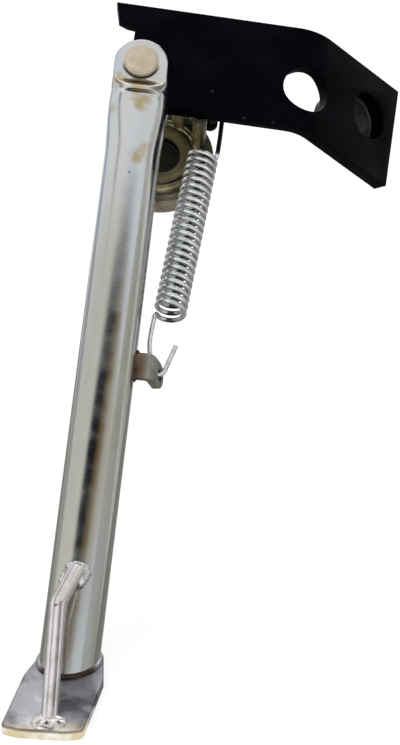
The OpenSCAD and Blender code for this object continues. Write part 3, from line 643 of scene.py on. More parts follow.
# %% Sizes of the tube
TUBE_R, TUBE_WALL = 11.1, 2.0
EAR_HALF_W, EAR_IN, EAR_OUT = 10.8, 3.1, 6.0
JOGGLE_TOP, JOGGLE_LOW, SLOT_FLOOR, PRESS_MID, PRESS_END = 7.6, 13.6, 16.6, 18.6, 42.0
FOOT_T = 3.5


def ease(value, low, high):
    share = min(1.0, max(0.0, (value - low) / (high - low)))
    return share * share * (3 - 2 * share)


def outer_box(down):
    """Centre, half width, half depth and corner radius of the outside at a distance down."""
    joggle = ease(down, JOGGLE_TOP, JOGGLE_LOW)
    out = ease(down, PRESS_MID, PRESS_END)
    lip = 0.35 * math.exp(-(((down - JOGGLE_LOW - 0.7) / 1.0) ** 2))
    half_w = EAR_HALF_W + (11.9 - EAR_HALF_W) * ease(down, 4, PRESS_MID) + (TUBE_R - 11.9) * out
    half_d = EAR_OUT + (9.8 - EAR_OUT) * joggle + (TUBE_R - 9.8) * out + lip
    corner = 0.9 + 7.5 * joggle + (TUBE_R - 8.5) * out
    centre = -LEG_OFFSET * (1 - ease(down, 0, PRESS_MID))
    return centre, half_w, half_d, min(corner, half_w - 0.02, half_d - 0.02)


def inner_box(down):
    centre, half_w, half_d, corner = outer_box(down)
    depth = (EAR_IN + (7.8 - EAR_IN) * ease(down, JOGGLE_TOP + 1.4, JOGGLE_LOW + 1.4)
             + (9.1 - 7.8) * ease(down, PRESS_MID, PRESS_END))
    corner = min(max(corner - TUBE_WALL, 0.3), depth - 0.02)
    return centre, half_w - TUBE_WALL, max(depth, EAR_IN + 0.001), corner


# %% Sections of the tube
SIDE_POINTS, FACE_POINTS = 4, 30


def quarter(half_w, half_d, corner):
    """A dense line from the side's middle to the face's middle."""
    arc = [(half_w - corner + corner * math.cos(a), half_d - corner + corner * math.sin(a))
           for a in [math.pi / 2 * k / 24 for k in range(25)]]
    return [(half_w, 0.0), *arc, (0.0, half_d)]


def spaced(line, start_z, end_z, count):
    """Evenly spaced points along the part of a line between two depths."""
    kept = [p for p in line if start_z < p[1] < end_z or (end_z == line[-1][1] and p[1] > start_z)]
    crossing = []
    for depth in (start_z, end_z):
        for a, b in zip(line, line[1:]):
            if a[1] <= depth <= b[1] and b[1] > a[1]:
                share = (depth - a[1]) / (b[1] - a[1])
                crossing.append((a[0] + share * (b[0] - a[0]), depth))
                break
    line = [crossing[0], *kept] if end_z == line[-1][1] else [crossing[0], *kept, crossing[1]]
    steps = [0.0]
    for a, b in zip(line, line[1:]):
        steps.append(steps[-1] + math.dist(a, b))
    made, k = [], 0
    for i in range(count):
        want = steps[-1] * i / (count - 1)
        while k < len(steps) - 2 and steps[k + 1] < want:
            k += 1
        run = steps[k + 1] - steps[k]
        share = (want - steps[k]) / run if run > 0 else 0.0
        made.append(tuple(line[k][n] + share * (line[k + 1][n] - line[k][n]) for n in (0, 1)))
    return made


def half_face(box):
    """Right half of the front face, from the slot's plane to the middle of the face."""
    centre, half_w, half_d, corner = box
    return spaced(quarter(half_w, half_d, corner), EAR_IN, half_d, FACE_POINTS)


def front_curve(box):
    """The whole front, right to left, as (side, out) points."""
    right = half_face(box)
    return [(box[0] + x, z) for x, z in right] + [(box[0] - x, z) for x, z in right[-2::-1]]


def whole_ring(box):
    """A closed section: front, left side, back and right side."""
    front = front_curve(box)
    left = spaced(quarter(*box[1:]), 0.0, EAR_IN, SIDE_POINTS)
    left_side = ([(box[0] - x, z) for x, z in left[-2::-1]]
                 + [(box[0] - x, -z) for x, z in left[1:-1]])
    right_side = [(2 * box[0] - x, -z) for x, z in left_side]
    back = [(2 * box[0] - x, -z) for x, z in front]
    return front + left_side + back + right_side


# %% The leg's lower end lies on the foot plate
def down_to_level(side, out, level):
    """Distance down the leg at which a line along it meets a height above the ground."""
    top = on_leg @ Vector((side, 0, out))
    step = on_leg @ Vector((side, -1, out)) - top
    return (level * 0.001 - top.z) / step.z


def tongue(sign):
    """The front or back ear, with its round top, down to the slot's floor."""
    levels = [SLOT_FLOOR * k / 40 for k in range(41)]
    rings = []
    for down in levels:
        outer = front_curve(outer_box(down))
        inner = front_curve(inner_box(down))
        rings.append([(x, -down, sign * z) for x, z in outer + inner[::-1]])
    points, faces = skin(rings, closed=True, caps=False)
    outer = half_face(outer_box(0))
    inner = half_face(inner_box(0))
    profile = [(x, sign * z) for x, z in outer[::-1]] + [(x, sign * z) for x, z in inner]
    steps = 40
    sweep = []
    for k in range(steps + 1):
        a = math.pi * k / steps
        sweep.append([(-LEG_OFFSET + r * math.cos(a), r * math.sin(a), z) for r, z in profile])
    return join((points, faces), skin(sweep, closed=False, caps=False))


# %% Loft the tube
def tube_body():
    pressed = [SLOT_FLOOR + (PRESS_END - SLOT_FLOOR) * (k / 44) ** 1.3 for k in range(45)]
    rings = [[(x, -down, z) for x, z in whole_ring(outer_box(down))] for down in pressed]
    circle = rings[-1]
    lower = 36
    for k in range(1, lower + 1):
        share = k / lower
        ring = []
        for x, _, z in circle:
            below = down_to_level(x, z, FOOT_T) - PRESS_END
            ring.append((x, -(PRESS_END + share * below), z))
        rings.append(ring)
    outside = skin(rings, caps=False)
    hollow = [SLOT_FLOOR + 3.0 * k for k in range(12)]
    inside_rings = [[(x, -down, z) for x, z in whole_ring(inner_box(down))] for down in hollow]
    inside = skin(inside_rings, caps=False)
    end = len(inside_rings) - 1
    count = len(inside_rings[0])
    inside[1].append(tuple(end * count + i for i in range(count)))
    foot = (rings[-1], [tuple(range(len(circle)))])
    return outside, inside, foot, rings[0], inside_rings[0]


def slot_rims(outer, inner):
    """The wall's cut edge at the slot's floor, left and right."""
    front = 2 * FACE_POINTS - 1
    side = 2 * SIDE_POINTS - 3
    parts = []
    for start in (front - 1, 2 * front + side - 1):
        chosen = [(start + i) % len(outer) for i in range(side + 2)]
        points = [outer[i] for i in chosen] + [inner[i] for i in chosen]
        wide = len(chosen)
        parts.append((points, [(i, i + 1, wide + i + 1, wide + i) for i in range(wide - 1)]))
    return parts


outside, inside, foot_end, top_ring, top_inner = tube_body()
leg_part = join(tongue(1), tongue(-1), outside, inside, foot_end, *slot_rims(top_ring, top_inner))
make_piece("pressed_leg_tube", leg_part, on_leg, "leg", "plated_tube",
           stands_for=["leg_tube"], sharp=40)

# %% [markdown]
# ## The pivot bolt, washer and nut
#
# The bolt's head is a low round one with a domed shoulder. Its thread shows only behind the nut. A
# real thread is a helix, so the radius of each point follows its angle and its height. The nut is
# turned too, with a radius that follows the six flats and corners cut off by the chamfer.


# %% Threads and nuts
def threaded(radius, pitch, low, high, segments=32, steps_per_turn=8):
    """A threaded shank between two heights, closed at both ends."""
    depth = pitch * 0.55
    rings = []
    rows = max(2, int((high - low) / pitch * steps_per_turn))
    for row in range(rows + 1):
        z = low + (high - low) * row / rows
        fade = min(1.0, (z - low) / pitch, (high - z) / pitch)
        ring = []
        for k in range(segments):
            turn = k / segments
            phase = (z / pitch - turn) % 1.0
            tooth = abs(2 * phase - 1)
            r = radius - depth * (1 - tooth) * fade
            ring.append((r * math.cos(2 * math.pi * turn), r * math.sin(2 * math.pi * turn), z))
        rings.append(ring)
    return skin(rings)


def hex_nut(flats, height, hole_r, segments=96):
    """A hexagon nut with chamfered corners and a countersunk hole."""
    half = flats / 2
    rings = []
    for k in range(segments):
        angle = 2 * math.pi * k / segments
        corner = half / math.cos((angle + math.pi / 6) % (math.pi / 3) - math.pi / 6)
        cut = max(0.0, corner - half * 0.97) * 0.55
        chamfer = min(corner, half * 0.97)
        profile = [(hole_r, 0.5), (hole_r + 0.5, 0), (half * 0.94, 0), (chamfer, 0.02),
                   (corner, cut + 0.02), (corner, height - cut - 0.02), (chamfer, height - 0.02),
                   (half * 0.94, height), (hole_r + 0.5, height), (hole_r, height - 0.5)]
        rings.append([(r * math.cos(angle), r * math.sin(angle), z) for r, z in profile])
    return skin(rings + [rings[0]], closed=True, caps=False)


# %% Pivot set
HEAD_R, HEAD_H, HEAD_FLAT_R, HEAD_DOME = 6.8, 3.0, 4.6, 0.9
BOLT_R, WASHER_R, WASHER_T, NUT_FLATS, NUT_H, BOLT_TAIL = 5.0, 9.0, 1.6, 17.0, 8.0, 2.0
NUT_BACK = -EAR_OUT - WASHER_T - NUT_H


def round_head():
    top = EAR_OUT + HEAD_H
    reach = HEAD_R - 0.5 - HEAD_FLAT_R
    dome = [(HEAD_FLAT_R + reach * math.sin(a), top - 0.12 - (HEAD_DOME - 0.1) * (1 - math.cos(a)))
            for a in [math.pi / 2 * k / 8 for k in range(9)]]
    rim = [(HEAD_R - 0.5 + 0.5 * math.sin(a), top - HEAD_DOME - 0.5 + 0.5 * math.cos(a))
           for a in [math.pi / 2 * k / 6 for k in range(7)]]
    profile = [(0, top), (HEAD_FLAT_R - 0.3, top), (HEAD_FLAT_R - 0.1, top - 0.04), *dome, *rim,
               (HEAD_R, EAR_OUT + 0.25), (HEAD_R - 0.25, EAR_OUT), (BOLT_R, EAR_OUT),
               (BOLT_R, NUT_BACK + 0.5), (0, NUT_BACK + 0.5)]
    return turned(profile, 72)


tail = threaded(BOLT_R, 1.5, NUT_BACK - BOLT_TAIL, NUT_BACK + 1.5)
make_piece("round_bolt", join(round_head(), tail), in_swing, "leg", "tan_zinc",
           stands_for=["pivot_bolt"])
washer = turned([(BOLT_R + 0.05, -0.1), (BOLT_R + 0.3, 0), (WASHER_R - 0.3, 0), (WASHER_R, -0.25),
                 (WASHER_R, -WASHER_T + 0.2), (WASHER_R - 0.2, -WASHER_T),
                 (BOLT_R + 0.05, -WASHER_T), (BOLT_R + 0.05, -0.1)])
behind_ear = in_swing @ Matrix.Translation((0, 0, -EAR_OUT))
make_piece("flat_washer", washer, behind_ear, "leg", "bright_zinc", stands_for=["pivot_washer"])
at_nut = in_swing @ Matrix.Translation((0, 0, NUT_BACK))
make_piece("hexagon_nut", hex_nut(NUT_FLATS, NUT_H, BOLT_R), at_nut, "leg", "bright_zinc",
           stands_for=["pivot_nut"], sharp=25)

# %% [markdown]
# ## The bracket, its sleeve and the hook plate
#
# These are flat steel cut and bent. The construction model already has their outline, bends and
# holes, so a merged copy keeps that shape, and a small bevel breaks the edges as the press and the
# paint do.


# %% Soft-edged copies of sheet-metal nodes
def soft_edged(name, source, body, slot, width, finish=None):
    mesh = frame["nodes"][source].data.copy()
    mesh.name = name
    work = bmesh.new()
    work.from_mesh(mesh)
    bmesh.ops.remove_doubles(work, verts=work.verts, dist=2e-6)
    bmesh.ops.dissolve_limit(work, angle_limit=math.radians(0.6), verts=work.verts, edges=work.edges)
    work.to_mesh(mesh)
    work.free()
    rough = bpy.data.objects.new(name + "_rough", mesh)
    bpy.context.scene.collection.objects.link(rough)
    bevel = rough.modifiers.new("edge", "BEVEL")
    bevel.width = width * 0.001
    bevel.segments = 3
    bevel.limit_method = "ANGLE"
    bevel.angle_limit = math.radians(40)
    graph = bpy.context.evaluated_depsgraph_get()
    finished = bpy.data.meshes.new_from_object(rough.evaluated_get(graph), depsgraph=graph)
    bpy.data.objects.remove(rough)
    finished.materials.clear()
    finished.materials.append(finishes[finish or slot])
    finished.shade_smooth()
    finished.set_sharp_from_angle(angle=math.radians(30))
    piece = bpy.data.objects.new(name, finished)
    bpy.context.scene.collection.objects.link(piece)
    settle(piece, body, [source])
    print(f"{name}: {len(finished.polygons)} faces")
    return piece


soft_edged("bent_bracket", "bracket_plate", "bracket", "black_paint", 0.55)
soft_edged("spring_hook_plate", "hook_plate", "leg", "plated_sheet", 0.25, "hook_sheet")

# %% Sleeve and its weld
PLATE_T, BEND_AT, BEND_R = 6.0, 68.0, 18.0
FLANGE_ANGLE = math.radians(47.4)
setback = BEND_R * math.tan(FLANGE_ANGLE / 2)
on_flange = (on_bracket @ Matrix.Translation((BEND_AT - setback, 0, PLATE_T / 2 - BEND_R))
             @ Matrix.Rotation(FLANGE_ANGLE, 4, "Y") @ Matrix.Translation((0, 0, BEND_R)))
FLANGE_HOLE_AT, FLANGE_HOLE_UP = 37.1, 7.6
on_flange_hole = on_flange @ Matrix.Translation((FLANGE_HOLE_AT - setback, FLANGE_HOLE_UP, -PLATE_T))
SLEEVE_BORE, SLEEVE_R, SLEEVE_LEN = 8.5, 12.0, 14.0
sleeve = turned([(SLEEVE_BORE, -0.4), (SLEEVE_BORE + 0.4, 0), (SLEEVE_R, 0),
                 (SLEEVE_R, -SLEEVE_LEN + 0.6), (SLEEVE_R - 0.6, -SLEEVE_LEN),
                 (SLEEVE_BORE + 0.6, -SLEEVE_LEN), (SLEEVE_BORE, -SLEEVE_LEN + 0.6),
                 (SLEEVE_BORE, -0.4)], 72)
make_piece("welded_sleeve", sleeve, on_flange_hole, "bracket", "black_paint", "sleeve_paint",
           ["flange_sleeve"])

# %% [markdown]
# ## Weld beads
#
# A hand-made bead is a row of overlapping scales. A ring of points is drawn along the joint, and its
# radius and height swell and fall a few times per centimetre, with a little noise.


# %% Bead along a path
def bead(path, radius, scale_len=1.6, closed=False, sides=10, ripple_size=0.14, lumps=0.16):
    """A rippled bead; path is a list of (point, direction away from the metal) pairs."""
    rings, run = [], 0.0
    last = None
    for i, (point, out) in enumerate(path):
        ahead = path[(i + 1) % len(path)][0] if closed or i + 1 < len(path) else point
        behind = path[i - 1][0] if closed or i else point
        along = (Vector(ahead) - Vector(behind)).normalized()
        up = Vector(out).normalized()
        across = along.cross(up).normalized()
        if last is not None:
            run += (Vector(point) - last).length
        last = Vector(point)
        ripple = abs(math.sin(math.pi * run / scale_len))
        rough = noise.noise(Vector(point) * 0.35)
        size = radius * (0.88 + ripple_size * ripple + lumps * rough)
        if not closed:
            size *= min(1.0, 0.35 + 0.65 * min(i, len(path) - 1 - i) / 3)
        rings.append([last + across * size * math.cos(a) + up * size * 0.8 * math.sin(a)
                      for a in [2 * math.pi * k / sides for k in range(sides)]])
    if closed:
        return skin(rings + [rings[0]], caps=False)
    return skin(rings)


def ring_path(radius, height, lean=0.7, count=72):
    turns = [2 * math.pi * k / count for k in range(count)]
    return [((radius * math.cos(a), radius * math.sin(a), height),
             (math.cos(a) * lean, math.sin(a) * lean, -1)) for a in turns]


sleeve_bead = bead(ring_path(SLEEVE_R + 0.3, -0.3), 1.9, closed=True)
make_piece("sleeve_fillet_weld", sleeve_bead, on_flange_hole, "bracket", "black_paint",
           "painted_weld", ["sleeve_weld"], 50)

# %% Foot weld: it follows the slanted end of the tube round the plate
foot_path = []
for k in range(120):
    a = 2 * math.pi * k / 120
    side, out = (TUBE_R + 0.1) * math.cos(a), (TUBE_R + 0.1) * math.sin(a)
    point = on_leg @ Vector((side, -down_to_level(side, out, FOOT_T + 0.3), out)) / 0.001
    centre = on_leg @ Vector((0, -down_to_level(0, 0, FOOT_T + 0.3), 0)) / 0.001
    away = (point - centre).normalized()
    foot_path.append((tuple(point), (away.x * 0.8, away.y * 0.8, 0.7)))


def foot_weld_finish():
    """Painted dark brown shadow at the front, under the tube's end, and plated grey round the sides."""
    finish, tree, shader, own = start_finish("foot_weld_metal", 1.0, 0.35, on_leg)
    out = node(tree, "SeparateXYZ", {0: own}).outputs["Z"]
    # Painted shadow: the bead's front, under the tube's end, is dark brown.
    colour = tint(tree, (0.32, 0.32, 0.33), (0.05, 0.035, 0.028), smooth_range(tree, out, 0.0045, 0.0085))
    tree.links.new(colour, shader.inputs["Base Color"])
    grain(tree, shader, own, 900.0, 0.0001, 0.28, 0.5)
    return finish


finishes["foot_weld_metal"] = foot_weld_finish()
foot_bead = bead(foot_path, 1.35, 2.6, closed=True, ripple_size=0.04, lumps=0.08)
make_piece("foot_fillet_weld", foot_bead, on_ground, "leg", "weld_bead", "foot_weld_metal",
           ["foot_weld"], 55)

# %% [markdown]
# ## The foot plate
#
# The plate is a blanked steel sole, wide enough for soft ground, with a rounded heel and a gently
# bowed front edge. Its outline is the hull of a few circles, and rings set inwards from it make the
# rolled edge that catches the light.


# %% Outline and rolled edge
def hull_of(points):
    """Convex hull, counterclockwise."""
    points = sorted(set(points))

    def half(line):
        kept = []
        for p in line:
            while len(kept) > 1 and ((kept[-1][0] - kept[-2][0]) * (p[1] - kept[-2][1])
                                     - (kept[-1][1] - kept[-2][1]) * (p[0] - kept[-2][0])) <= 0:
                kept.pop()
            kept.append(p)
        return kept[:-1]

    return half(points) + half(points[::-1])


def circle_points(x, y, radius, count=72):
    turns = [2 * math.pi * k / count for k in range(count)]
    return [(round(x + radius * math.cos(a), 5), round(y + radius * math.sin(a), 5)) for a in turns]


FOOT_FRONT, FOOT_BACK, FOOT_BACK_R, FOOT_W = 58.0, 19.8, 11.8, 29.4
FOOT_WAIST, FOOT_CORNER, FOOT_BOW, FOOT_SHIFT = 11.0, 6.5, 32.0, 0.3
circles = [(-FOOT_SHIFT, FOOT_BACK - FOOT_BACK_R, FOOT_BACK_R)]
for side in (-1, 1):
    circles.append((side * (FOOT_W / 2 - FOOT_CORNER), -FOOT_WAIST, FOOT_CORNER))
    circles.append((side * (FOOT_W / 2 - FOOT_CORNER), FOOT_CORNER - FOOT_FRONT, FOOT_CORNER))
outline = []
for x, y in hull_of([p for c in circles for p in circle_points(*c)]):
    bow = Vector((x, y - (FOOT_BOW - FOOT_FRONT)))
    if y < 0 and bow.length > FOOT_BOW:
        bow = bow.normalized() * FOOT_BOW
    outline.append(Vector((bow.x, bow.y + FOOT_BOW - FOOT_FRONT)))


def even_loop(line, count):
    """Evenly spaced points round a closed line."""
    loop = line + [line[0]]
    steps = [0.0]
    for a, b in zip(loop, loop[1:]):
        steps.append(steps[-1] + (b - a).length)
    made, k = [], 0
    for i in range(count):
        want = steps[-1] * i / count
        while steps[k + 1] < want:
            k += 1
        made.append(loop[k].lerp(loop[k + 1], (want - steps[k]) / (steps[k + 1] - steps[k])))
    return made


outline = even_loop(outline, 160)


def inset(line, distance):
    made = []
    for i, p in enumerate(line):
        along = (line[(i + 1) % len(line)] - line[i - 1]).normalized()
        made.append(p + Vector((-along.y, along.x)) * distance)
    return made


def rolled_plate(line, thickness, edge):
    """A plate with rolled upper edges and slightly broken lower ones."""
    rings = [[(p.x, p.y, 0.0) for p in inset(line, 0.3)], [(p.x, p.y, 0.3) for p in line]]
    for k in range(7):
        a = math.pi / 2 * k / 6
        height = thickness - edge + edge * math.sin(a)
        rings.append([(p.x, p.y, height) for p in inset(line, edge * (1 - math.cos(a)))])
    return skin(rings)


lean_turn = math.atan2(math.sin(LEG_RAKE), math.cos(LEG_RAKE) * math.cos(SWING_TILT))
on_foot = on_ground @ Matrix.Rotation(-lean_turn, 4, "Z") @ Matrix.Translation((FOOT_SHIFT, 0, 0))
make_piece("sole_plate", rolled_plate(outline, FOOT_T, 0.9), on_foot, "leg", "plated_sheet",
           stands_for=["foot_plate"], sharp=50)

# %% [markdown]
# ## Wire and rod: geometry nodes along a path
#
# The spring, its two hooks and the kick rod are all round bar bent along a path. One node tree turns
# any path into bar, with its thickness and its number of sides as named inputs. The result is made
# a plain mesh, because the export keeps no live modifiers.


# %% The bar tree
def bar_tree():
    tree = bpy.data.node_groups.new("bar_along_path", "GeometryNodeTree")
    tree.interface.new_socket("Geometry", in_out="INPUT", socket_type="NodeSocketGeometry")
    for label, kind in (("Radius", "Float"), ("Sides", "Int"), ("Finish", "Material")):
        tree.interface.new_socket(label, in_out="INPUT", socket_type="NodeSocket" + kind)
    tree.interface.new_socket("Geometry", in_out="OUTPUT", socket_type="NodeSocketGeometry")
    entry = tree.nodes.new("NodeGroupInput").outputs
    line, circle, sweep, smooth, real, coated = (tree.nodes.new("GeometryNode" + kind) for kind in (
        "MeshToCurve", "CurvePrimitiveCircle", "CurveToMesh", "SetShadeSmooth",
        "RealizeInstances", "SetMaterial"))
    leave = tree.nodes.new("NodeGroupOutput")
    sweep.inputs["Fill Caps"].default_value = True
    links = [
        (entry["Geometry"], line.inputs["Mesh"]),
        (entry["Sides"], circle.inputs["Resolution"]),
        (entry["Radius"], circle.inputs["Radius"]),
        (line.outputs[0], sweep.inputs["Curve"]),
        (circle.outputs[0], sweep.inputs["Profile Curve"]),
        (sweep.outputs[0], smooth.inputs["Geometry"]),
        (smooth.outputs[0], real.inputs[0]),
        (real.outputs[0], coated.inputs["Geometry"]),
        (entry["Finish"], coated.inputs["Material"]),
        (coated.outputs[0], leave.inputs[0]),
    ]
    for start, end in links:
        tree.links.new(start, end)
    return tree


bar_nodes = bar_tree()


def bar_mesh(name, path, radius, sides, finish):
    """Runs the bar tree over a path of points in metres and gives back a plain mesh."""
    line = bpy.data.meshes.new(name + "_path")
    line.from_pydata(path, [(i, i + 1) for i in range(len(path) - 1)], [])
    holder = bpy.data.objects.new(name + "_path", line)
    bpy.context.scene.collection.objects.link(holder)
    modifier = holder.modifiers.new("bar", "NODES")
    modifier.node_group = bar_nodes
    values = {"Radius": radius * 0.001, "Sides": sides, "Finish": finishes[finish]}
    for item in bar_nodes.interface.items_tree:
        if item.item_type == "SOCKET" and item.in_out == "INPUT" and item.name in values:
            modifier[item.identifier] = values[item.name]
    graph = bpy.context.evaluated_depsgraph_get()
    mesh = bpy.data.meshes.new_from_object(holder.evaluated_get(graph), depsgraph=graph)
    bpy.data.objects.remove(holder)
    return mesh


def bar_part(mesh):
    """The points and faces of a bar mesh, to join with other skins."""
    points = [tuple(v.co) for v in mesh.vertices]
    return points, [tuple(face.vertices) for face in mesh.polygons]


in_metres = Matrix.Identity(4)

# %% [markdown]
# ## The return spring
#
# The coil has 23.5 turns of 1.9 mm wire. At the top the wire runs straight up into a hook over the
# peg. At the bottom it passes through the hook plate's hole and turns back up, with an open end. The
# path is written as the spring is bent: lower hook, rise, coil, rise, upper hook. Its lower hook sits
# on the leg and its upper hook on the bracket's peg; here the spring is only baked in place. A blend
# that keeps both hooks seated as the leg swings has a price: the coil bends round the pivot and its
# turns shear, where a real one stays straight and round.

# %% The spring's own frame
WIRE_R, COIL_R, COIL_TURNS = 0.95, 5.6, 23.5
PEG_AT, PEG_DOWN, PEG_R, PEG_LEN = 29.8, -7.1, 3.1, 21.5
PEG_HEAD, PEG_NECK_R, PEG_NECK_W = 3.0, 2.6, 3.4
HOOK_T, HOOK_DOWN, HOOK_REACH, HOOK_LEN = 2.5, 129.8, 17.6, 13.0
HOOK_BEND_R, HOOK_HOLE_IN, HOOK_HOLE_R, HOOK_FRONT = 4.0, 4.2, 2.2, 1.2
hook_bend = math.radians(70)
hook_setback = HOOK_BEND_R * math.tan(hook_bend / 2)
hole_run = HOOK_LEN - hook_setback - HOOK_HOLE_IN
hole_side = (HOOK_REACH - hook_setback + HOOK_BEND_R * math.sin(hook_bend) + hole_run * math.cos(hook_bend)
             - HOOK_T / 2 * math.sin(hook_bend))
hole_out = (HOOK_FRONT - HOOK_BEND_R + HOOK_BEND_R * math.cos(hook_bend) - hole_run * math.sin(hook_bend)
            - HOOK_T / 2 * math.cos(hook_bend))
HOLE_SEAT_GAP, PEG_SEAT_GAP = 0.6, 0.3
neck_middle = -PLATE_T / 2 - PEG_LEN + PEG_HEAD + PEG_NECK_W / 2
to_swing = in_swing.inverted()
hole_seat = -HOOK_DOWN + HOOK_HOLE_R - WIRE_R - HOLE_SEAT_GAP
wire_at_hole = to_swing @ on_leg @ Vector((hole_side, hole_seat, hole_out))
wire_at_peg = to_swing @ on_bracket @ Vector((PEG_AT, PEG_DOWN, neck_middle))
run = wire_at_peg - wire_at_hole
spring_len = run.length
spring_up = run.normalized()
spring_out = (Vector((0, 0, 1)) - spring_up * spring_up.z).normalized()
spring_right = spring_up.cross(spring_out)
spring_turn = Matrix((spring_right, spring_out, spring_up)).transposed().to_4x4()
on_spring = in_swing @ Matrix.Translation(wire_at_hole) @ spring_turn
print("spring length between seats", round(spring_len, 1), "mm")


# %% The spring's path
def bezier(a, b, c, count):
    made = []
    for k in range(count):
        t = k / count
        made.append(tuple((1 - t) ** 2 * a[n] + 2 * t * (1 - t) * b[n] + t * t * c[n] for n in range(3)))
    return made


COIL_LOW, COIL_STOP, LEAD_ANGLE, RINGS_PER_TURN = 28.0, 18.0, math.radians(40), 28
coil_high = spring_len - COIL_STOP
coil_sweep = 2 * math.pi * COIL_TURNS - 2 * LEAD_ANGLE
coil_rings = int(COIL_TURNS * RINGS_PER_TURN)
loop_r = PEG_NECK_R + WIRE_R + 1.3
loop_middle = spring_len + PEG_NECK_R + WIRE_R + PEG_SEAT_GAP - loop_r


def coil_point(share):
    angle = math.pi + LEAD_ANGLE + share * coil_sweep
    return (COIL_R * math.cos(angle), COIL_R * math.sin(angle), COIL_LOW + share * (coil_high - COIL_LOW))


LOW_LOOP_R, TAIL, LEAD_LEN = 2.6, (4.9, 0, 14), 2.5
rise = (-COIL_R, 0, COIL_LOW / 2)


def meets_loop(point, side):
    """Direction from the lower loop's middle to where a straight wire from a point meets it."""
    away = Vector((point[0], 0, point[2] - LOW_LOOP_R))
    return math.atan2(away.z, away.x) + side * math.acos(LOW_LOOP_R / away.length)


tail_turn, rise_turn = meets_loop(TAIL, -1), meets_loop(rise, 1) - 2 * math.pi
low_turns = [tail_turn + (rise_turn - tail_turn) * k / 16 for k in range(17)]
low_loop = [(LOW_LOOP_R * math.cos(a), 0, LOW_LOOP_R + LOW_LOOP_R * math.sin(a)) for a in low_turns]
near_rise = tuple(rise[n] + 0.25 * (low_loop[-1][n] - rise[n]) for n in range(3))
lead_low, lead_bend = (-COIL_R, 0, COIL_LOW * 0.68), (-COIL_R, 0, COIL_LOW * 0.8)
lead_high, upper_lead = (-COIL_R, 0, COIL_LOW - LEAD_LEN), (COIL_R, 0, coil_high + LEAD_LEN)
upper_turns = [math.pi * k / 18 for k in range(19)]
spring_path = [TAIL, *low_loop, *bezier(near_rise, rise, lead_low, 6)]
spring_path += bezier(lead_low, lead_bend, lead_high, 3)
spring_path += bezier(lead_high, (-COIL_R, 0, COIL_LOW), coil_point(0), 8)
spring_path += [coil_point(k / coil_rings) for k in range(coil_rings)]
spring_path += bezier(coil_point(1), (COIL_R, 0, coil_high), upper_lead, 8)
spring_path += bezier(upper_lead, (COIL_R, 0, coil_high + 6), (loop_r, 0, loop_middle), 8)
spring_path += [(loop_r * math.cos(a), 0, loop_middle + loop_r * math.sin(a)) for a in upper_turns]


def spring_zinc():
    """Bright zinc with painted shade: near black inside the coil between the turns, dark on the upper lead and
    hook.
    """
    finish, tree, shader, own = start_finish("spring_zinc", 1.0, 0.25, on_spring)
    parts = node(tree, "SeparateXYZ", {0: own})
    flat = node(tree, "CombineXYZ", {"X": parts.outputs["X"], "Y": parts.outputs["Y"]})
    radius = node(tree, "VectorMath", {0: flat.outputs[0]}, operation="LENGTH")
    inner = smooth_range(tree, radius.outputs["Value"], 0.0064, 0.0058)
    above = smooth_range(tree, parts.outputs["Z"], 0.026, 0.028)
    below = smooth_range(tree, parts.outputs["Z"], (coil_high + 2) * 0.001, coil_high * 0.001)
    first = node(tree, "Math", {0: inner, 1: above}, operation="MULTIPLY")
    painted_coil_shade = node(tree, "Math", {0: first.outputs[0], 1: below}, operation="MULTIPLY")
    colour = tint(tree, (0.74, 0.77, 0.77), (0.50, 0.52, 0.53),
                  group(tree, streaks, Vector=own, Seed=7.0, Scale=300.0, Stretch=0.3, Low=0.4, High=0.7))
    # Painted shade on the inside of the coil, between the turns.
    colour = tint(tree, colour, (0.02, 0.022, 0.026), painted_coil_shade.outputs[0], 0.97)
    # Painted shade on the upper lead and hook, which lie behind the bracket.
    upper = smooth_range(tree, parts.outputs["Z"], (coil_high + 1) * 0.001, (coil_high + 3) * 0.001)
    colour = tint(tree, colour, (0.05, 0.05, 0.055), upper, 0.9)
    tree.links.new(colour, shader.inputs["Base Color"])
    grain(tree, shader, own, 1200.0, 0.00003, 0.2, 0.34)
    return finish


finishes["spring_zinc"] = spring_zinc()
spring_line = [on_spring @ Vector(p) for p in spring_path]
spring_mesh = bar_mesh("return_spring", spring_line, WIRE_R, 12, "spring_zinc")
coil_ends = on_spring @ Vector((0, 0, COIL_LOW)), on_spring @ Vector((0, 0, coil_high))
make_piece("return_spring", bar_part(spring_mesh), in_metres, ("leg", "bracket", *coil_ends),
           "bright_zinc", "spring_zinc", ["spring"], 60)

# %% [markdown]
# ## The kick rod
#
# A 6 mm rod runs from the front of the tube to the foot plate. The rider's foot pushes it. The rod
# is bent once, so its path is two straights and an arc. It starts a little below the solid's top,
# as in the photograph, and a bead caps that end.


# %% Rod path
def bent_path(start, corner, end, radius, count=12):
    start, corner, end = Vector(start), Vector(corner), Vector(end)
    back, ahead = (start - corner).normalized(), (end - corner).normalized()
    half = back.angle(ahead) / 2
    reach = radius / math.tan(half)
    centre = corner + (back + ahead).normalized() * radius / math.sin(half)
    first, last = corner + back * reach, corner + ahead * reach
    spoke, turn = first - centre, math.pi - 2 * half
    axis = spoke.cross(last - centre).normalized()
    arc = [centre + Matrix.Rotation(turn * k / count, 3, axis) @ spoke for k in range(count + 1)]
    return [start, start.lerp(first, 0.5), *arc, last.lerp(end, 0.33), last.lerp(end, 0.66), end]


ROD_R = 3.0
rod_top, rod_bend, rod_foot = Vector((0, -218, 14.1)), Vector((-6, -236.3, 19)), Vector((-2.8, -287.4, 38.4))
rod_bend_world, rod_foot_world = on_leg @ rod_bend, on_leg @ rod_foot
share = (rod_bend_world.z - (FOOT_T - 0.2) * 0.001) / (rod_bend_world.z - rod_foot_world.z)
landing = rod_bend_world.lerp(rod_foot_world, share)
rod_way = (rod_bend - rod_top).normalized()
ROD_START_DOWN = 2.4
rod_start = rod_top + rod_way * ROD_START_DOWN


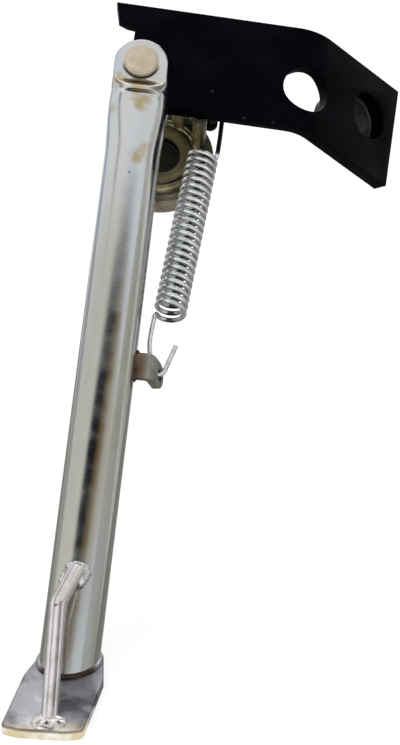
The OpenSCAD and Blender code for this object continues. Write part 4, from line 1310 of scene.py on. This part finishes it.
def rod_finish():
    """Bright plated bar with a burnt dot just below its bend."""
    finish, tree, shader, own = start_finish("rod_zinc", 1.0, 0.2, on_ground)
    colour = tint(tree, (0.76, 0.73, 0.74), (0.56, 0.53, 0.51),
                  group(tree, streaks, Vector=own, Seed=7.0, Scale=160.0, Stretch=0.3, Low=0.4, High=0.7))
    spot = tuple(rod_bend_world + Vector((-0.0006, -0.0040, 0.0014)))
    dot = group(tree, stain, Vector=own, Centre=spot, Radius=0.0009, Scale=900.0)
    colour = tint(tree, colour, (0.03, 0.028, 0.025), dot, 0.9)
    tree.links.new(colour, shader.inputs["Base Color"])
    grain(tree, shader, own, 1200.0, 0.00003, 0.18, 0.3)
    return finish


finishes["rod_zinc"] = rod_finish()
ROD_BEND_R = 0.009
rod_path = bent_path(on_leg @ rod_start, rod_bend_world, landing, ROD_BEND_R)
rod_mesh = bar_mesh("kick_rod_bar", rod_path, ROD_R, 32, "rod_zinc")
make_piece("kick_rod_bar", bar_part(rod_mesh), in_metres, "leg", "bright_zinc", "rod_zinc",
           ["kick_rod"], 45)


# %% Welds of the rod and the hook plate
def straight_bead(start, end, out, radius, count=14, scale_len=1.4):
    start, end = Vector(start), Vector(end)
    return bead([(tuple(start.lerp(end, k / count)), out) for k in range(count + 1)], radius, scale_len)


SIDE_BEAD_LEN = 8
top_beads = []
for side in (-1, 1):
    start = rod_top + Vector((side * 3.3, -1.0, -1.8))
    top_beads.append(straight_bead(start, start + rod_way * SIDE_BEAD_LEN, (side, 0, 1), 2.1, 16, 2.6))
cap_turns = [math.pi * (1.08 - 1.16 * k / 20) for k in range(21)]
cap_path = []
for a in cap_turns:
    place = rod_start + Vector((3.2 * math.cos(a), 0.4 + 2.0 * math.sin(a), -2.2))
    cap_path.append((tuple(place), (math.cos(a), math.sin(a), 1.2)))
top_beads.append(bead(cap_path, 2.0, 2.8, ripple_size=0.08))
make_piece("rod_top_beads", join(*top_beads), on_leg, "leg", "weld_bead", "plated_weld", ["rod_top_weld"], 55)


def weld_pool(radius, height, rows=8, count=40):
    """A low, uneven dome of weld metal."""
    rings = []
    for row in range(rows + 1):
        share = row / rows
        ring = []
        for k in range(count):
            a = 2 * math.pi * k / count
            ragged = 1 + 0.14 * noise.noise(Vector((2.2 * math.cos(a), 2.2 * math.sin(a), 3.1)))
            lump = 1 + 0.25 * noise.noise(Vector((3 * share * math.cos(a), 3 * share * math.sin(a), 7.7)))
            r = radius * ragged * math.cos(math.pi / 2 * share * 0.98)
            ring.append((r * math.cos(a), r * math.sin(a), height * lump * math.sin(math.pi / 2 * share)))
        rings.append(ring)
    return skin(rings)


at_landing = Matrix.Translation(landing) @ millimetres @ Matrix.Translation((0, 0, -0.2))


def pool_finish():
    """Bright weld with three burnt pits."""
    finish, tree, shader, own = start_finish("weld_pool", 1.0, 0.25, at_landing)
    colour = tint(tree, (0.74, 0.72, 0.70), (0.42, 0.39, 0.34),
                  group(tree, streaks, Vector=own, Seed=14.0, Scale=420.0, Stretch=1.0, Low=0.45, High=0.65))
    pits = (((-0.0008, -0.0038, 0.0020), 0.0016), ((0.0012, -0.0066, 0.0008), 0.0015),
            ((0.0034, -0.0028, 0.0018), 0.0009))
    for centre, radius in pits:
        pit = group(tree, stain, Vector=own, Centre=centre, Radius=radius, Scale=900.0)
        colour = tint(tree, colour, (0.02, 0.018, 0.016), pit, 0.95)
    tree.links.new(colour, shader.inputs["Base Color"])
    grain(tree, shader, own, 1200.0, 0.0001, 0.2, 0.35)
    return finish


finishes["weld_pool"] = pool_finish()
make_piece("rod_foot_pool", weld_pool(6.6, 2.6), at_landing, "leg", "weld_bead", "weld_pool",
           ["rod_foot_weld"], 55)
HOOK_H = 10.5
hook_beads = []
for side in (-1, 1):
    level = -HOOK_DOWN + side * (HOOK_H / 2 + 0.2)
    start = (TUBE_R - 0.2, level, HOOK_FRONT - HOOK_T - 0.6)
    end = (TUBE_R - 0.2, level, HOOK_FRONT + 0.6)
    hook_beads.append(straight_bead(start, end, (1, side, 0), 1.5, 10))
make_piece("hook_plate_beads", join(*hook_beads), on_leg, "leg", "weld_bead",
           stands_for=["hook_weld"], sharp=55)

# %% [markdown]
# ## The peg and the stepped disc
#
# Both are turned parts. The peg has a collar against the plate and a neck that keeps the spring's
# hook from slipping off. The disc behind the plate has a well, raised rings and a two-tier rim. It
# hangs from two threaded studs.

# %% Peg
peg_end = -PLATE_T / 2 - PEG_LEN
neck_low = peg_end + PEG_HEAD
neck_high = neck_low + PEG_NECK_W
rivet_end = [(0, 3.3), (1.2, 3.25), (1.6, 2.95), (2.1, 2.98), (2.9, 3.12), (PEG_R, 2.9)]
collar = [(PEG_R, -3.0), (3.8, -3.0), (4.0, -3.2), (4.0, -4.8), (3.8, -5.0), (PEG_R, -5.0)]
neck = [(PEG_R, neck_high + 0.2), (PEG_NECK_R, neck_high - 0.5), (PEG_NECK_R, neck_low + 0.5),
        (PEG_R, neck_low - 0.1)]
peg_head = [(PEG_R, peg_end + 0.7), (2.9, peg_end + 0.25), (2.4, peg_end), (0, peg_end)]
peg = turned(rivet_end + collar + neck + peg_head, 48)
at_peg = on_bracket @ Matrix.Translation((PEG_AT, PEG_DOWN, 0))
make_piece("riveted_peg", peg, at_peg, "bracket", "black_paint", stands_for=["spring_peg"])

# %% Stepped disc
DISC_T = 10.0
well = [(0, -3.2), (6.9, -3.2), (7.4, -2.9), (7.7, -1.2), (8.1, -0.2), (8.6, 0), (12.4, 0)]
groove = [(12.8, -0.15), (13.2, -0.7), (14.2, -0.7), (14.6, -0.15), (15.0, 0), (15.7, 0)]
step = [(16.2, -0.25), (16.8, -1.05), (17.3, -1.2), (20.3, -1.2), (20.8, -0.95), (21.1, -0.72)]
tiers = [(21.45, -0.8), (DISC_R, -1.2), (DISC_R, -4.4), (21.4, -4.75), (21.1, -5.1),
         (21.1, -5.9), (21.4, -6.2), (DISC_R, -6.5), (DISC_R, -9.5), (21.2, -DISC_T), (0, -DISC_T)]
disc = turned(well + groove + step + tiers, 128)
make_piece("stepped_disc", disc, on_disc, "bracket", "yellow_zinc",
           stands_for=["backing_disc"], sharp=50)

# %% Studs, their nuts and welds
STUD_R, STUD_THREAD_R, STUD_CIRCLE, DISC_SPACE = 2.9, 2.4, 17.0, 22.0
stud_parts, nut_parts, stud_beads = [], [], []
for turn in (32, 72):
    a = math.radians(turn)
    at = Matrix.Translation((STUD_CIRCLE * math.cos(a), STUD_CIRCLE * math.sin(a), 0))
    shank = turned([(0, DISC_SPACE), (STUD_R, DISC_SPACE), (STUD_R, -1.0), (STUD_R - 0.2, -1.2), (0, -1.2)], 40)
    thread = threaded(STUD_THREAD_R, 0.8, -DISC_T - 5, -1.2, 24, 6)
    stud_parts += [moved(shank, at), moved(thread, at)]
    behind_disc = at @ Matrix.Translation((0, 0, -DISC_T - 4))
    nut_parts.append(moved(hex_nut(8, 4, STUD_THREAD_R, 72), behind_disc))
    round_stud = ring_path(STUD_R + 0.3, DISC_SPACE - 0.2, 0.7, 36)
    stud_beads.append(moved(bead(round_stud, 1.2, 1.2, closed=True), at))
make_piece("threaded_studs", join(*stud_parts), on_disc, "bracket", "dull_zinc", "yellow_zinc",
           ["disc_studs"])
make_piece("stud_nuts", join(*nut_parts), on_disc, "bracket", "dull_zinc",
           stands_for=["disc_nuts"], sharp=25)
make_piece("stud_beads", join(*stud_beads), on_disc, "bracket", "weld_bead", "painted_weld",
           ["stud_welds"], 50)

# %% [markdown]
# ## Finishes on the construction nodes
#
# Every node of the construction model gets its own finish too, so that nothing plain is left even
# where a finer piece stands in front of it.

# %% Dress the nodes
slot_of = {row["node"]: row.get("material_slot") for row in frame["record"]["subparts"]}
for name, solid in frame["nodes"].items():
    solid.data.materials.clear()
    solid.data.materials.append(finishes[slot_of[name]])
print("dressed", len(frame["nodes"]), "nodes,", len(pieces), "finer pieces")

# %% Finish
print("done")
